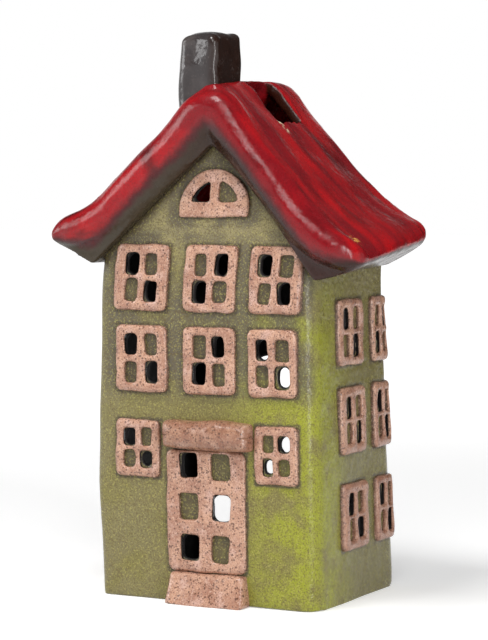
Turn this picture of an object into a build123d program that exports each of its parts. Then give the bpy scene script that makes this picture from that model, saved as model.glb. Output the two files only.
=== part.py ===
from build123d import *
import math
import os

# A glazed ceramic tealight house: slabs and applied tiles joined wet and fired as one, with a loose tealight inside.
# All lengths are in millimetres and all angles in degrees.
# The origin is the centre of the underside. The door faces -Y, +X is to the right of the door, and +Z is up.

# Walls
wall_width = 108.0
wall_depth = 88.0
wall_thickness = 3.6
gable_wall_lean = 1.64
side_wall_lean = 0.6
wall_corner_radius = 7.0
inner_corner_radius = 2.0
gable_height = 203.0
gable_slope = 45.0
joint_gap = 0.12
cut_overrun = 10.0

# Base slab
floor_thickness = 4.5

# Opening in the back wall, for the tealight and the hand, as shares of the wall's width
arch_width_share = 0.74
arch_height_share = 0.972

# Roof
roof_rise = 28.0
ridge_round = 6.0
eave_reach = 20.0
eave_slope = 31.7
eave_nose_height = 6.6
eave_nose_round_share = 0.74
eave_bend_inset = 3.5
eave_bend_radius = 40.0
roof_slab_thickness = 5.2
roof_front_overhang = 11.2
roof_back_overhang = 3.0
roof_edge_round_share = 0.9

# Heat vent in the right-hand slope
vent_length = 21.5
vent_width = 20.0
vent_ridge_margin = 3.6
vent_chimney_margin = 0.8
vent_corner_radius = 2.0

# Chimney
chimney_width = 15.6
chimney_depth = 26.4
chimney_rise = 20.0
chimney_ridge_margin = 3.0
chimney_front_margin = 20.0
chimney_edge_round = 3.0
chimney_top_round = 2.2

# Window tiles: across as shares of the wall they are on, and up as shares of the gable's height.
# Each kind is its tile, its pane and its bars.
tile_thickness = 2.1
tile_corner_radius = 2.4
tile_edge_round = 0.9
pane_corner_radius = 0.9
large_front_shares = ((0.245, 0.148), (0.0574, 0.0468), (0.0343, 0.0115))
small_front_shares = ((0.196, 0.128), (0.0480, 0.0355), (0.0250, 0.0125))
large_side_shares = ((0.301, 0.148), (0.0705, 0.0468), (0.0420, 0.0115))
narrow_side_shares = ((0.230, 0.148), (0.0608, 0.0468), (0.0330, 0.0115))
front_column_shares = {"left": -0.289, "middle": 0.027, "right": 0.329}
front_row_shares = {"top": 0.709, "middle": 0.530}
small_column_shares = {"left": -0.297, "right": 0.345}
small_row_share = 0.332
side_column_shares = {"front": 0.0, "back": 0.330}
side_row_shares = {"top": 0.590, "middle": 0.397, "low": 0.186}

# Half-round window in the gable, its parts as shares of its radius
fanlight_radius = 17.2
fanlight_x = 1.8
fanlight_base_share = 0.842
fanlight_shoulder_share = 0.24
fanlight_border_share = 0.31
fanlight_sill_share = 0.40
fanlight_bar_share = 0.26

# Door, canopy and step, placed and sized across as shares of the wall's width
door_x_share = 0.0259
door_shares = ((0.347, 0.268), (0.0808, 0.0557), (0.0611, 0.0340))
door_thickness = 2.4
pane_shift_x = -1.0
pane_shift_z = 2.0
canopy_x_share = 0.0389
canopy_width_share = 0.412
canopy_height = 13.2
canopy_reach = 9.0
canopy_round_share = 0.42
step_x_share = 0.0315
step_width_share = 0.361
step_height = 13.6
step_reach = 8.5
step_top_reach = 3.8
step_round = 1.8

# Tealight
cup_radius = 19.0
cup_height = 15.6
cup_sheet = 0.4
cup_rim_reach = 0.6
cup_seat_gap = 0.1
wax_side_gap = 0.3
wax_height = 12.4
wax_edge_round = 0.6
candle_fit_gap = 0.1
wick_radius = 1.0
wick_above_wax = 7.0
tab_radius = 7.5
tab_sheet = 0.4
tab_wall = 0.6
tab_collar_height = 3.2

gable_wall_slope = math.tan(math.radians(gable_wall_lean))
side_wall_slope = math.tan(math.radians(side_wall_lean))
gable_fall = math.tan(math.radians(gable_slope))
eave_fall = math.tan(math.radians(eave_slope))
ridge_height = gable_height + roof_rise
eave_root_x = wall_width / 2
eave_root_z = gable_height - eave_root_x * gable_fall
eave_tip_x = eave_root_x + eave_reach
roof_front_y = eave_root_z * gable_wall_slope - wall_depth / 2 - roof_front_overhang
roof_back_y = wall_depth / 2 - eave_root_z * gable_wall_slope + roof_back_overhang
chimney_y = roof_front_y + chimney_front_margin + chimney_depth / 2
door_bottom = step_height + joint_gap
door_height = door_shares[0][1] * gable_height
canopy_bottom = door_bottom + door_height


def trapezoid(plane, span, slope, top):
    """Face on an upright plane, as wide as span at the ground and leaning in on both sides up to top."""
    half = span / 2
    narrow = half - top * slope
    return make_face(plane * Polyline((-half, 0), (half, 0), (narrow, top), (-narrow, top), close=True))


def leaning_block(inset, corner, top):
    """Solid inside the four leaning wall planes, each moved inwards by inset, from the ground up to top."""
    across = extrude(trapezoid(Plane.XZ, wall_width - 2 * inset, side_wall_slope, top), wall_depth, both=True)
    along = extrude(trapezoid(Plane.YZ, wall_depth - 2 * inset, gable_wall_slope, top), wall_width, both=True)
    block = across & along
    uprights = [edge for edge in block.edges() if edge.bounding_box().size.Z > top / 2]
    return fillet(uprights, corner)


def front_prism(points, y_from, y_to):
    """Prism along Y whose section is a closed outline of (x, z) points."""
    face = make_face(Plane.XZ * Polyline(*points, close=True))
    return Pos(0, y_to, 0) * extrude(face, y_to - y_from)


def under_slopes(peak):
    """Everything below two planes that fall from a level ridge line at the height peak."""
    side = wall_width
    shoulder = peak - side * gable_fall
    foot = min(shoulder, 0) - cut_overrun
    points = [(-side, foot), (side, foot), (side, shoulder), (0, peak), (-side, shoulder)]
    return front_prism(points, -wall_depth, wall_depth)


def wall_plane(side):
    """Plane on the outer face of a wall: X runs to the right as seen from outside, Y up, Z outwards."""
    nx, ny = {"front": (0, -1), "right": (1, 0), "back": (0, 1), "left": (-1, 0)}[side]
    reach = wall_depth / 2 if nx == 0 else wall_width / 2
    lean = math.radians(gable_wall_lean if nx == 0 else side_wall_lean)
    normal = (nx * math.cos(lean), ny * math.cos(lean), math.sin(lean))
    return Plane(origin=(nx * reach, ny * reach, 0), x_dir=(-ny, nx, 0), z_dir=normal)


class Window:
    """A frame tile with panes cut right through it, and the holes in the wall behind some of its panes."""

    def __init__(self, side, centre, shares, open_first, rows=2, thickness=tile_thickness, shift=(0, 0)):
        wall_span = wall_width if side == "front" else wall_depth
        spans = (wall_span, gable_height)
        tile, pane, bar = [[share * span for share, span in zip(pair, spans)] for pair in shares]
        self.place = wall_plane(side) * Pos(*centre, 0)
        self.tile = tile
        self.pane = pane
        self.thickness = thickness
        self.panes = []
        for row in range(rows):
            for column in range(2):
                u = shift[0] + (column - 1 / 2) * (pane[0] + bar[0])
                v = shift[1] + ((rows - 1) / 2 - row) * (pane[1] + bar[1])
                is_open = ((row + column) % 2 == 0) == open_first
                self.panes.append((u, v, is_open))

    def pane_cutter(self, u, v):
        """Rounded prism through the tile and the wall at one pane."""
        outline = RectangleRounded(*self.pane, pane_corner_radius)
        return Pos(u, v, 0) * extrude(outline, 2 * wall_thickness, both=True)

    def frame(self):
        """The applied tile, running back into the wall it is bedded on."""
        body = extrude(RectangleRounded(*self.tile, tile_corner_radius), self.thickness + wall_thickness)
        body = fillet(body.faces().sort_by(Axis.Z)[-1].edges(), tile_edge_round)
        body = Pos(0, 0, -wall_thickness) * body
        for u, v, _ in self.panes:
            body -= self.pane_cutter(u, v)
        return self.place * body

    def wall_holes(self):
        """A cutter through the wall for each open pane."""
        return [self.place * self.pane_cutter(u, v) for u, v, is_open in self.panes if is_open]


def front_windows():
    """The eight rectangular windows of the front by node name."""
    windows = {}
    for row, up in front_row_shares.items():
        for column, across in front_column_shares.items():
            centre = (across * wall_width, up * gable_height)
            windows[f"front_window_{row}_{column}"] = Window("front", centre, large_front_shares, column != "middle")
    for column, across in small_column_shares.items():
        centre = (across * wall_width, small_row_share * gable_height)
        windows[f"front_window_low_{column}"] = Window("front", centre, small_front_shares, column == "left")
    return windows


def side_windows(side):
    """The six windows of one side by node name. The two sides mirror each other."""
    windows = {}
    sign = 1 if side == "right" else -1
    for row, up in side_row_shares.items():
        for column, across in side_column_shares.items():
            centre = (sign * across * wall_depth, up * gable_height)
            shares = large_side_shares if column == "front" else narrow_side_shares
            near_open = not (row == "top" and column == "back")
            open_first = near_open if side == "right" else not near_open
            windows[f"{side}_window_{row}_{column}"] = Window(side, centre, shares, open_first)
    return windows


def door_window():
    """The door, a tall frame with three rows of panes between the step and the canopy."""
    centre = (door_x_share * wall_width, door_bottom + door_height / 2)
    shift = (pane_shift_x, pane_shift_z)
    return Window("front", centre, door_shares, True, rows=3, thickness=door_thickness, shift=shift)


class Fanlight:
    """The half-round gable window with two quarter-round panes."""

    def __init__(self):
        self.place = wall_plane("front") * Pos(fanlight_x, fanlight_base_share * gable_height, 0)
        self.shoulder = fanlight_shoulder_share * fanlight_radius

    def half_round(self, radius, base):
        """Half-round face about the arc's centre, cut off level at the height base."""
        block = Pos(0, base + radius) * Rectangle(2 * radius, 2 * radius)
        legs = Pos(0, self.shoulder / 2) * Rectangle(2 * radius, self.shoulder)
        return (Pos(0, self.shoulder) * Circle(radius) + legs) & block

    def pane_cutter(self, side):
        """Prism through one pane, left of the upright bar for side -1 and right of it for side 1."""
        inner = fanlight_radius * (1 - fanlight_border_share)
        sill = fanlight_radius * fanlight_sill_share
        bar = fanlight_radius * fanlight_bar_share
        beside = Pos(side * (bar / 2 + inner), 0) * Rectangle(2 * inner, 4 * fanlight_radius)
        pane = self.half_round(inner, sill) & beside
        pane = fillet(pane.vertices(), pane_corner_radius)
        return extrude(pane, 2 * wall_thickness, both=True)

    def frame(self):
        """The applied tile, running back into the gable."""
        face = self.half_round(fanlight_radius, 0)
        face = fillet(face.vertices().sort_by(Axis.Y)[:2], tile_corner_radius)
        body = extrude(face, tile_thickness + wall_thickness)
        body = fillet(body.faces().sort_by(Axis.Z)[-1].edges(), tile_edge_round)
        body = Pos(0, 0, -wall_thickness) * body
        for side in (-1, 1):
            body -= self.pane_cutter(side)
        return self.place * body

    def wall_holes(self):
        """The cutter behind the left-hand pane, the one that is open."""
        return [self.place * self.pane_cutter(-1)]


def arch_cutter():
    """Arched opening through the back wall, from the top of the base slab up."""
    radius = arch_width_share * wall_width / 2
    spring = arch_height_share * wall_width - radius
    legs = Pos(0, (floor_thickness + spring) / 2) * Rectangle(2 * radius, spring - floor_thickness)
    face = Pos(0, spring) * Circle(radius) + legs
    return Pos(0, wall_depth, 0) * extrude(Plane.XZ * face, wall_depth)


def mitre_prism(side):
    """Prism that holds one wall, up to the mitres at its two corners."""
    facing = side in ("front", "back")
    apex = (wall_width - wall_depth) / 2 if facing else (wall_depth - wall_width) / 2
    reach = wall_width + wall_depth
    outline = Polyline((0, apex), (-reach, apex - reach), (reach, apex - reach), close=True)
    turn = {"front": 0, "right": 90, "back": 180, "left": 270}[side]
    return Rot(0, 0, turn) * extrude(make_face(outline), ridge_height)


def overlaps(first, second):
    """Whether the bounding boxes of two solids overlap."""
    a = first.bounding_box()
    b = second.bounding_box()
    across = a.min.X < b.max.X and b.min.X < a.max.X
    along = a.min.Y < b.max.Y and b.min.Y < a.max.Y
    return across and along and a.min.Z < b.max.Z and b.min.Z < a.max.Z


def cut_near(solid, cutters):
    """Take from a solid those cutters that come near it."""
    near = [cutter for cutter in cutters if overlaps(solid, cutter)]
    return solid - near if near else solid


def wall_slabs(cutters):
    """The four walls as separate slabs, mitred together at the corners."""
    outside = leaning_block(0, wall_corner_radius, ridge_height)
    inside = leaning_block(wall_thickness, inner_corner_radius, ridge_height)
    shell = ((outside - inside) & under_slopes(gable_height)) - arch_cutter()
    slabs = {}
    for side in ("front", "back", "left", "right"):
        slabs[f"{side}_wall"] = cut_near(shell & mitre_prism(side), cutters)
    return slabs, outside


def make_floor():
    """Base slab, let in between the walls."""
    return leaning_block(wall_thickness + joint_gap, inner_corner_radius, floor_thickness)


def roof_section():
    """Section of the roof across the house: seat planes below, the ridge and the flared eaves above."""
    bend_x = eave_root_x - eave_bend_inset
    bend_z = ridge_height - bend_x * gable_fall
    nose_top = bend_z - (eave_tip_x - bend_x) * eave_fall
    nose_bottom = nose_top - eave_nose_height
    right = [(eave_root_x, eave_root_z), (eave_tip_x, nose_bottom), (eave_tip_x, nose_top), (bend_x, bend_z)]
    left = [(-x, z) for x, z in reversed(right)]
    outline = Polyline((0, gable_height), *right, (0, ridge_height), *left, close=True)
    face = make_face(outline)
    face = fillet(face.vertices().group_by(Axis.X)[0], eave_nose_height * eave_nose_round_share)
    face = fillet(face.vertices().sort_by(Axis.Y)[-1], ridge_round)
    bends = [v for v in face.vertices() if math.isclose(abs(v.X), bend_x) and math.isclose(v.Y, bend_z)]
    return fillet(bends, eave_bend_radius)


def roof_outside():
    """The roof before it is hollowed, with its rims rounded."""
    bar = Pos(0, roof_back_y, 0) * extrude(Plane.XZ * roof_section(), roof_back_y - roof_front_y)
    ends = bar.faces().filter_by(Axis.Y)
    rim_round = eave_nose_height * eave_nose_round_share * roof_edge_round_share
    return fillet(ends.edges(), rim_round)


def vent_cutter():
    """Slanted cutter for the heat vent, square to the right-hand slope and behind the chimney."""
    slope = math.radians(gable_slope)
    normal = (math.sin(slope), 0, math.cos(slope))
    y = chimney_y + chimney_depth / 2 + vent_chimney_margin + vent_width / 2
    plane = Plane(origin=(0, y, ridge_height), x_dir=(0, 1, 0), z_dir=normal)
    outline = RectangleRounded(vent_width, vent_length, vent_corner_radius)
    return plane * Pos(0, -vent_ridge_margin - vent_length / 2, 0) * extrude(outline, cut_overrun, both=True)


def make_roof(solid_roof):
    """The roof, hollowed over the room to an even slab, with the heat vent."""
    slab_drop = roof_slab_thickness / math.cos(math.radians(gable_slope))
    room = leaning_block(wall_thickness, inner_corner_radius, ridge_height) & under_slopes(ridge_height - slab_drop)
    return solid_roof - room - vent_cutter()


def make_chimney(solid_roof):
    """The chimney block on the left-hand slope, its foot cut to the roof's own surface."""
    x = -chimney_ridge_margin - chimney_width / 2
    foot = ridge_height - (chimney_ridge_margin + chimney_width) * gable_fall - roof_slab_thickness
    outline = RectangleRounded(chimney_width, chimney_depth, chimney_edge_round)
    block = extrude(outline, ridge_height + chimney_rise - foot)
    block = fillet(block.faces().sort_by(Axis.Z)[-1].edges(), chimney_top_round)
    standing = Pos(x, chimney_y, foot) * block - solid_roof
    return standing.solids().sort_by(Axis.Z)[-1]


def make_canopy():
    """The rolled canopy over the door, running back into the wall."""
    roll = extrude(Rectangle(canopy_width_share * wall_width, canopy_height), canopy_reach + wall_thickness)
    roll = fillet(roll.faces().sort_by(Axis.Z)[-1].edges(), canopy_height * canopy_round_share)
    centre = (canopy_x_share * wall_width, canopy_bottom + canopy_height / 2)
    return wall_plane("front") * Pos(*centre, -wall_thickness) * roll


def make_step():
    """The doorstep, an apron that flares out towards the ground, running back into the wall."""
    front = -wall_depth / 2
    points = [(0, 0), (front - step_reach, 0), (front - step_top_reach, step_height), (0, step_height)]
    face = make_face(Plane.YZ * Polyline(*points, close=True))
    step = Pos(step_x_share * wall_width, 0, 0) * extrude(face, step_width_share * wall_width / 2, both=True)
    top_front = step.edges().filter_by(Axis.X).group_by(Axis.Z)[-1].sort_by(Axis.Y)[0]
    return fillet(top_front, step_round)


def make_cup():
    """The pressed cup with a small turned-out rim."""
    outside = extrude(Circle(cup_radius), cup_height)
    rim_height = 2 * cup_sheet
    rim = Pos(0, 0, cup_height - rim_height) * extrude(Circle(cup_radius + cup_rim_reach), rim_height)
    inside = Pos(0, 0, cup_sheet) * extrude(Circle(cup_radius - cup_sheet), cup_height)
    return outside + rim - inside


def make_tab():
    """The wick holder: a thin disc with a short collar."""
    bore = wick_radius + candle_fit_gap
    disc = extrude(Circle(tab_radius), tab_sheet)
    collar = Pos(0, 0, tab_sheet) * extrude(Circle(bore + tab_wall), tab_collar_height)
    return disc + collar - Pos(0, 0, tab_sheet) * extrude(Circle(bore), tab_collar_height)


def make_wick():
    """The wick, from the holder's disc to above the wax."""
    bottom = tab_sheet + candle_fit_gap
    wick = Pos(0, 0, bottom) * extrude(Circle(wick_radius), wax_height + wick_above_wax - bottom)
    return fillet(wick.faces().sort_by(Axis.Z)[-1].edges(), wick_radius / 2)


def make_wax():
    """The wax filling, with room for the wick and its holder."""
    wax = extrude(Circle(cup_radius - cup_sheet - wax_side_gap), wax_height)
    wax = fillet(wax.faces().sort_by(Axis.Z)[-1].edges(), wax_edge_round)
    gap = candle_fit_gap
    collar_radius = wick_radius + tab_wall + 2 * gap
    wax -= extrude(Circle(tab_radius + gap), tab_sheet + gap)
    wax -= extrude(Circle(collar_radius), tab_sheet + tab_collar_height + gap)
    return wax - extrude(Circle(wick_radius + gap), wax_height)


def tealight_nodes():
    """The loose tealight, standing on the base slab."""
    on_floor = Pos(0, 0, floor_thickness + cup_seat_gap)
    in_cup = Pos(0, 0, cup_sheet + candle_fit_gap)
    return {
        "tealight_cup": on_floor * make_cup(),
        "tealight_wax": on_floor * in_cup * make_wax(),
        "wick_holder": on_floor * in_cup * make_tab(),
        "wick": on_floor * in_cup * make_wick(),
    }


def build():
    """Every node of the tealight house by name."""
    tiles = {**front_windows(), **side_windows("right"), **side_windows("left")}
    tiles["gable_fanlight"] = Fanlight()
    tiles["door_frame"] = door_window()
    nodes, walls_outside = wall_slabs([hole for tile in tiles.values() for hole in tile.wall_holes()])
    nodes["base_slab"] = make_floor()
    solid_roof = roof_outside()
    nodes["roof"] = make_roof(solid_roof)
    nodes["chimney"] = make_chimney(solid_roof)
    nodes["door_canopy"] = make_canopy() - walls_outside
    nodes["door_step"] = make_step() - walls_outside
    for name, tile in tiles.items():
        nodes[name] = cut_near(tile.frame() - walls_outside, [solid_roof])
    nodes.update(tealight_nodes())
    return nodes


os.makedirs("parts", exist_ok=True)
for node_name, shape in build().items():
    export_step(shape, f"parts/{node_name}.step")
    print(node_name, "solids", len(shape.solids()), "volume", round(shape.volume, 1))
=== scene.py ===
"""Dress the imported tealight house: clay forms worked by hand, their glazes, the tealight and the studio."""

import logging
import math
import random
from dataclasses import dataclass, field
from enum import Enum
from typing import Callable, Iterable

import bpy
import numpy as np
from mathutils import Matrix, Vector, noise


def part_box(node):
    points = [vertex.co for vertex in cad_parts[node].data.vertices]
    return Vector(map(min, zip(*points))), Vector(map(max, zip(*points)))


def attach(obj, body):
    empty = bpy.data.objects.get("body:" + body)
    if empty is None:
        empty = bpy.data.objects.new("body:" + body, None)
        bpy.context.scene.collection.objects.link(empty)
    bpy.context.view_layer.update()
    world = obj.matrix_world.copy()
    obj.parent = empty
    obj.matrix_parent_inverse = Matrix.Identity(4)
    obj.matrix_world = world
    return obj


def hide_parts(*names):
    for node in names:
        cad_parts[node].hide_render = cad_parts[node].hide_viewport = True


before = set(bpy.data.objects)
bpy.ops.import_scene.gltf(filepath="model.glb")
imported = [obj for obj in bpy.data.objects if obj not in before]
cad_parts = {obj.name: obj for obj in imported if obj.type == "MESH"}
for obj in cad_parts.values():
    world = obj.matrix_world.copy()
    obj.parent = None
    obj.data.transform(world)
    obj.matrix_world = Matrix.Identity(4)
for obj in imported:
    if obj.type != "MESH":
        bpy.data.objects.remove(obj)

LOG = logging.getLogger("tealight_house")
MM = 0.001
ROUGH_SEED = 9.0
ROUGH_SPREAD = 0.12
FAR = 99.0
Pair = tuple[float, float]
Point = tuple[float, float, float]
Row = tuple[float, ...]
Panes = tuple[Pair, Pair]
Piece = bpy.types.Object
Test = Callable[[Vector], bool]


def portion(value: float, start: float, end: float) -> float:
    """How far a value has come from start to end, from 0 to 1."""
    return min(max((value - start) / (end - start), 0), 1)


class Side(Enum):
    """The four walls, each with the direction it faces."""

    FRONT = (0, -1)
    RIGHT = (1, 0)
    BACK = (0, 1)
    LEFT = (-1, 0)


class Body(Enum):
    """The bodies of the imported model."""

    HOUSE = "house"
    CUP = "tealight"
    CANDLE = "candle"


class Bench:
    """Small steps of hand modelling that every sub-assembly shares. Sizes are in millimetres."""

    @staticmethod
    def clear() -> None:
        """Deselect everything."""
        bpy.ops.object.select_all(action="DESELECT")

    @staticmethod
    def take(piece: Piece) -> None:
        """Make a piece the only one selected, and the active one."""
        Bench.clear()
        piece.select_set(True)
        bpy.context.view_layer.objects.active = piece

    @staticmethod
    def settle(piece: Piece) -> None:
        """Put a piece's place, turn and size into its mesh."""
        Bench.take(piece)
        bpy.ops.object.transform_apply(location=True, rotation=True, scale=True)

    @staticmethod
    def block(name: str, low: Point, high: Point) -> Piece:
        """Add a block.

        Args:
            name: The piece's name.
            low: Its lowest corner.
            high: Its highest corner.

        Returns:
            The block.
        """
        Bench.clear()
        centre = [(a + b) / 2 * MM for a, b in zip(low, high)]
        bpy.ops.mesh.primitive_cube_add(size=1, location=centre)
        piece = bpy.context.object
        piece.name = name
        piece.scale = [(b - a) * MM for a, b in zip(low, high)]
        Bench.settle(piece)
        return piece

    @staticmethod
    def rod(name: str, centre: Point, radius: float, length: float, along_y: bool, sides: int) -> Piece:
        """Add a round bar.

        Args:
            name: The piece's name.
            centre: The middle of the bar.
            radius: Its radius.
            length: Its length.
            along_y: Whether it lies along Y instead of standing along Z.
            sides: The number of sides.

        Returns:
            The bar.
        """
        Bench.clear()
        turn = (math.pi / 2 if along_y else 0, 0, 0)
        sizes = {"vertices": sides, "radius": radius * MM, "depth": length * MM}
        place = [value * MM for value in centre]
        bpy.ops.mesh.primitive_cylinder_add(location=place, rotation=turn, **sizes)
        piece = bpy.context.object
        piece.name = name
        Bench.settle(piece)
        return piece

    @staticmethod
    def slab(name: str, outline: list[Pair], y_from: float, y_to: float) -> Piece:
        """Cut a slab whose section across the house is a closed outline.

        Args:
            name: The piece's name.
            outline: The section's corners as (x, z).
            y_from: Where the slab starts.
            y_to: Where it ends.

        Returns:
            The slab.
        """
        Bench.clear()
        bpy.ops.mesh.primitive_circle_add(vertices=len(outline), radius=MM, fill_type="NGON")
        piece = bpy.context.object
        piece.name = name
        for vertex, (x, z) in zip(piece.data.vertices, outline):
            vertex.co = (x * MM, y_from * MM, z * MM)
        Bench.edit(piece, "FACE", lambda place: True)
        bpy.ops.mesh.extrude_region_move(TRANSFORM_OT_translate={"value": (0, (y_to - y_from) * MM, 0)})
        bpy.ops.mesh.select_all(action="SELECT")
        bpy.ops.mesh.normals_make_consistent(inside=False)
        bpy.ops.object.mode_set(mode="OBJECT")
        return piece

    @staticmethod
    def coil(name: str, path: list[Row]) -> Piece:
        """Roll a coil of clay along a path.

        Args:
            name: The piece's name.
            path: The points it is drawn to, each as x, y, z and radius.

        Returns:
            The coil, closed at both ends.
        """
        Bench.clear()
        bpy.ops.curve.primitive_nurbs_path_add()
        piece = bpy.context.object
        piece.name = name
        line = piece.data
        line.splines.clear()
        spline = line.splines.new("NURBS")
        spline.points.add(len(path) - 1)
        for point, (x, y, z, radius) in zip(spline.points, path):
            point.co = (x * MM, y * MM, z * MM, 1)
            point.radius = radius
        spline.order_u = 3
        spline.use_endpoint_u = True
        line.dimensions = "3D"
        line.bevel_depth = MM
        line.bevel_resolution = 5
        line.resolution_u = 8
        line.use_fill_caps = True
        bpy.ops.object.convert(target="MESH")
        return piece

    @staticmethod
    def edit(piece: Piece, kind: str, test: Test) -> None:
        """Open a piece in edit mode, with the faces or edges selected whose middle passes the test."""
        Bench.take(piece)
        bpy.ops.object.mode_set(mode="EDIT")
        bpy.ops.mesh.select_mode(type=kind)
        bpy.ops.mesh.select_all(action="DESELECT")
        bpy.ops.object.mode_set(mode="OBJECT")
        mesh = piece.data
        for part in mesh.polygons if kind == "FACE" else mesh.edges:
            corners = [mesh.vertices[i].co for i in part.vertices]
            part.select = test(sum(corners, Vector()) / len(corners) / MM)
        bpy.ops.object.mode_set(mode="EDIT")

    @staticmethod
    def round_edges(piece: Piece, test: Test, radius: float, segments: int = 4) -> None:
        """Round the edges whose middle passes the test."""
        Bench.edit(piece, "EDGE", test)
        bpy.ops.mesh.bevel(offset=radius * MM, segments=segments, profile=0.5, clamp_overlap=True)
        bpy.ops.object.mode_set(mode="OBJECT")

    @staticmethod
    def narrow(piece: Piece, height: float, across: float, along: float) -> None:
        """Scale the face of a block that lies above a height."""
        Bench.edit(piece, "FACE", lambda p: p.z > height)
        bpy.ops.transform.resize(value=(across, along, 1))
        bpy.ops.object.mode_set(mode="OBJECT")

    @staticmethod
    def finish(piece: Piece, kind: str, **settings: object) -> None:
        """Add a modifier with these settings and apply it."""
        Bench.take(piece)
        modifier = piece.modifiers.new(kind.title(), kind)
        for key, value in settings.items():
            setattr(modifier, key, value)
        bpy.ops.object.modifier_apply(modifier=modifier.name)

    @staticmethod
    def join(name: str, pieces: list[Piece]) -> Piece:
        """Join pieces into one."""
        Bench.clear()
        for piece in pieces:
            piece.select_set(True)
        bpy.context.view_layer.objects.active = pieces[0]
        if len(pieces) > 1:
            bpy.ops.object.join()
        pieces[0].name = name
        return pieces[0]

    @staticmethod
    def copy(piece: Piece, name: str) -> Piece:
        """Copy a piece with its own mesh."""
        twin = piece.copy()
        twin.data = piece.data.copy()
        twin.name = name
        bpy.context.collection.objects.link(twin)
        return twin

    @staticmethod
    def discard(piece: Piece) -> None:
        """Throw a tool or a blank away."""
        mesh = piece.data
        bpy.data.objects.remove(piece)
        bpy.data.meshes.remove(mesh)

    @staticmethod
    def cut(piece: Piece, tool: Piece, operation: str = "DIFFERENCE") -> None:
        """Cut a piece with a tool, and throw the tool away."""
        Bench.finish(piece, "BOOLEAN", operation=operation, object=tool, solver="EXACT")
        Bench.discard(tool)

    @staticmethod
    def soften(piece: Piece, grain: float, rounds: int) -> None:
        """Turn a piece into an even clay skin and wipe its edges soft.

        Args:
            piece: The piece.
            grain: The size of the skin's faces.
            rounds: How many times the skin is wiped.
        """
        Bench.finish(piece, "REMESH", mode="VOXEL", voxel_size=grain * MM, use_smooth_shade=True)
        Bench.finish(piece, "SMOOTH", factor=0.5, iterations=rounds)

    @staticmethod
    def corners(piece: Piece) -> np.ndarray:
        """The places of a piece's vertices in millimetres, one row each."""
        places = np.empty(len(piece.data.vertices) * 3)
        piece.data.vertices.foreach_get("co", places)
        return places.reshape(-1, 3) / MM

    @staticmethod
    def press(piece: Piece, places: np.ndarray) -> None:
        """Move a piece's vertices to places in millimetres."""
        piece.data.vertices.foreach_set("co", (places * MM).ravel())
        piece.data.update()

    @staticmethod
    def paint(piece: Piece, name: str, values: np.ndarray) -> None:
        """Store one value per vertex under a name that the glazes read."""
        layer = piece.data.attributes.new(name, "FLOAT", "POINT")
        layer.data.foreach_set("value", values.astype(np.float32))

    @staticmethod
    def outward(piece: Piece) -> np.ndarray:
        """The direction each vertex faces, one row each."""
        normals = np.empty(len(piece.data.vertices) * 3)
        piece.data.vertex_normals.foreach_get("vector", normals)
        return normals.reshape(-1, 3)

    @staticmethod
    def waves(places: np.ndarray, size: float, seed: float) -> np.ndarray:
        """A smooth random value, about -1 to 1, at each of the places.

        Args:
            places: Rows of x, y and z.
            size: How far apart the swells are, in the same unit.
            seed: Moves the pattern.

        Returns:
            One value for each row.
        """
        moved = places / size + np.array([seed, seed * 2, seed * 3])
        return np.array([noise.noise(Vector(row)) for row in moved])

    @staticmethod
    def dent(piece: Piece, depth: float, size: float, seed: float) -> None:
        """Leave the soft dents of fingers over a piece.

        Args:
            piece: The piece, with an even skin.
            depth: The greatest depth.
            size: The width of a dent.
            seed: Moves the pattern.
        """
        places = Bench.corners(piece)
        swell = Bench.waves(places, size, seed) * depth
        Bench.press(piece, places + Bench.outward(piece) * swell[:, None])


@dataclass(frozen=True)
class Shell:
    """The four leaning walls as planes, shared by the walls and the tiles on them."""

    width: float = 108.0
    depth: float = 88.0
    thickness: float = 3.6
    front_lean: float = 1.64
    side_lean: float = 0.6
    corner: float = 9.0
    fold_share: float = 0.93
    gable_top: float = 203.0

    def lean(self, side: Side) -> float:
        """How far a wall leans in, as an angle in radians."""
        return math.radians(self.side_lean if side.value[0] else self.front_lean)

    def face(self, side: Side) -> Matrix:
        """Where a wall's outer face lies: X to the right seen from outside, Y up and Z outwards."""
        nx, ny = side.value
        lean = self.lean(side)
        reach = self.width / 2 if nx else self.depth / 2
        normal = Vector((nx * math.cos(lean), ny * math.cos(lean), math.sin(lean)))
        right = Vector((-ny, nx, 0))
        turn = Matrix((right, normal.cross(right), normal)).transposed().to_4x4()
        return Matrix.Translation(Vector((nx * reach, ny * reach, 0)) * MM) @ turn

    def half_span(self, side: Side, up: float | np.ndarray) -> float | np.ndarray:
        """Half the width of a wall at a height, or at each of several heights."""
        length, lean = (self.depth, self.front_lean) if side.value[0] else (self.width, self.side_lean)
        return length / 2 - up * math.tan(math.radians(lean))

    def fold(self, side: Side, places: np.ndarray) -> np.ndarray:
        """Lay places given on a wall's face around the rounded corners of the house.

        Args:
            side: The wall.
            places: Rows of (right, up, out) on that face.

        Returns:
            The same rows, those beyond the flat of the wall moved inwards.
        """
        flat = self.half_span(side, places[:, 1]) - self.corner
        over = np.clip(np.abs(places[:, 0]) - flat, 0, self.fold_share * self.corner)
        folded = places.copy()
        folded[:, 2] -= self.corner - np.sqrt(self.corner**2 - over**2)
        return folded


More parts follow.
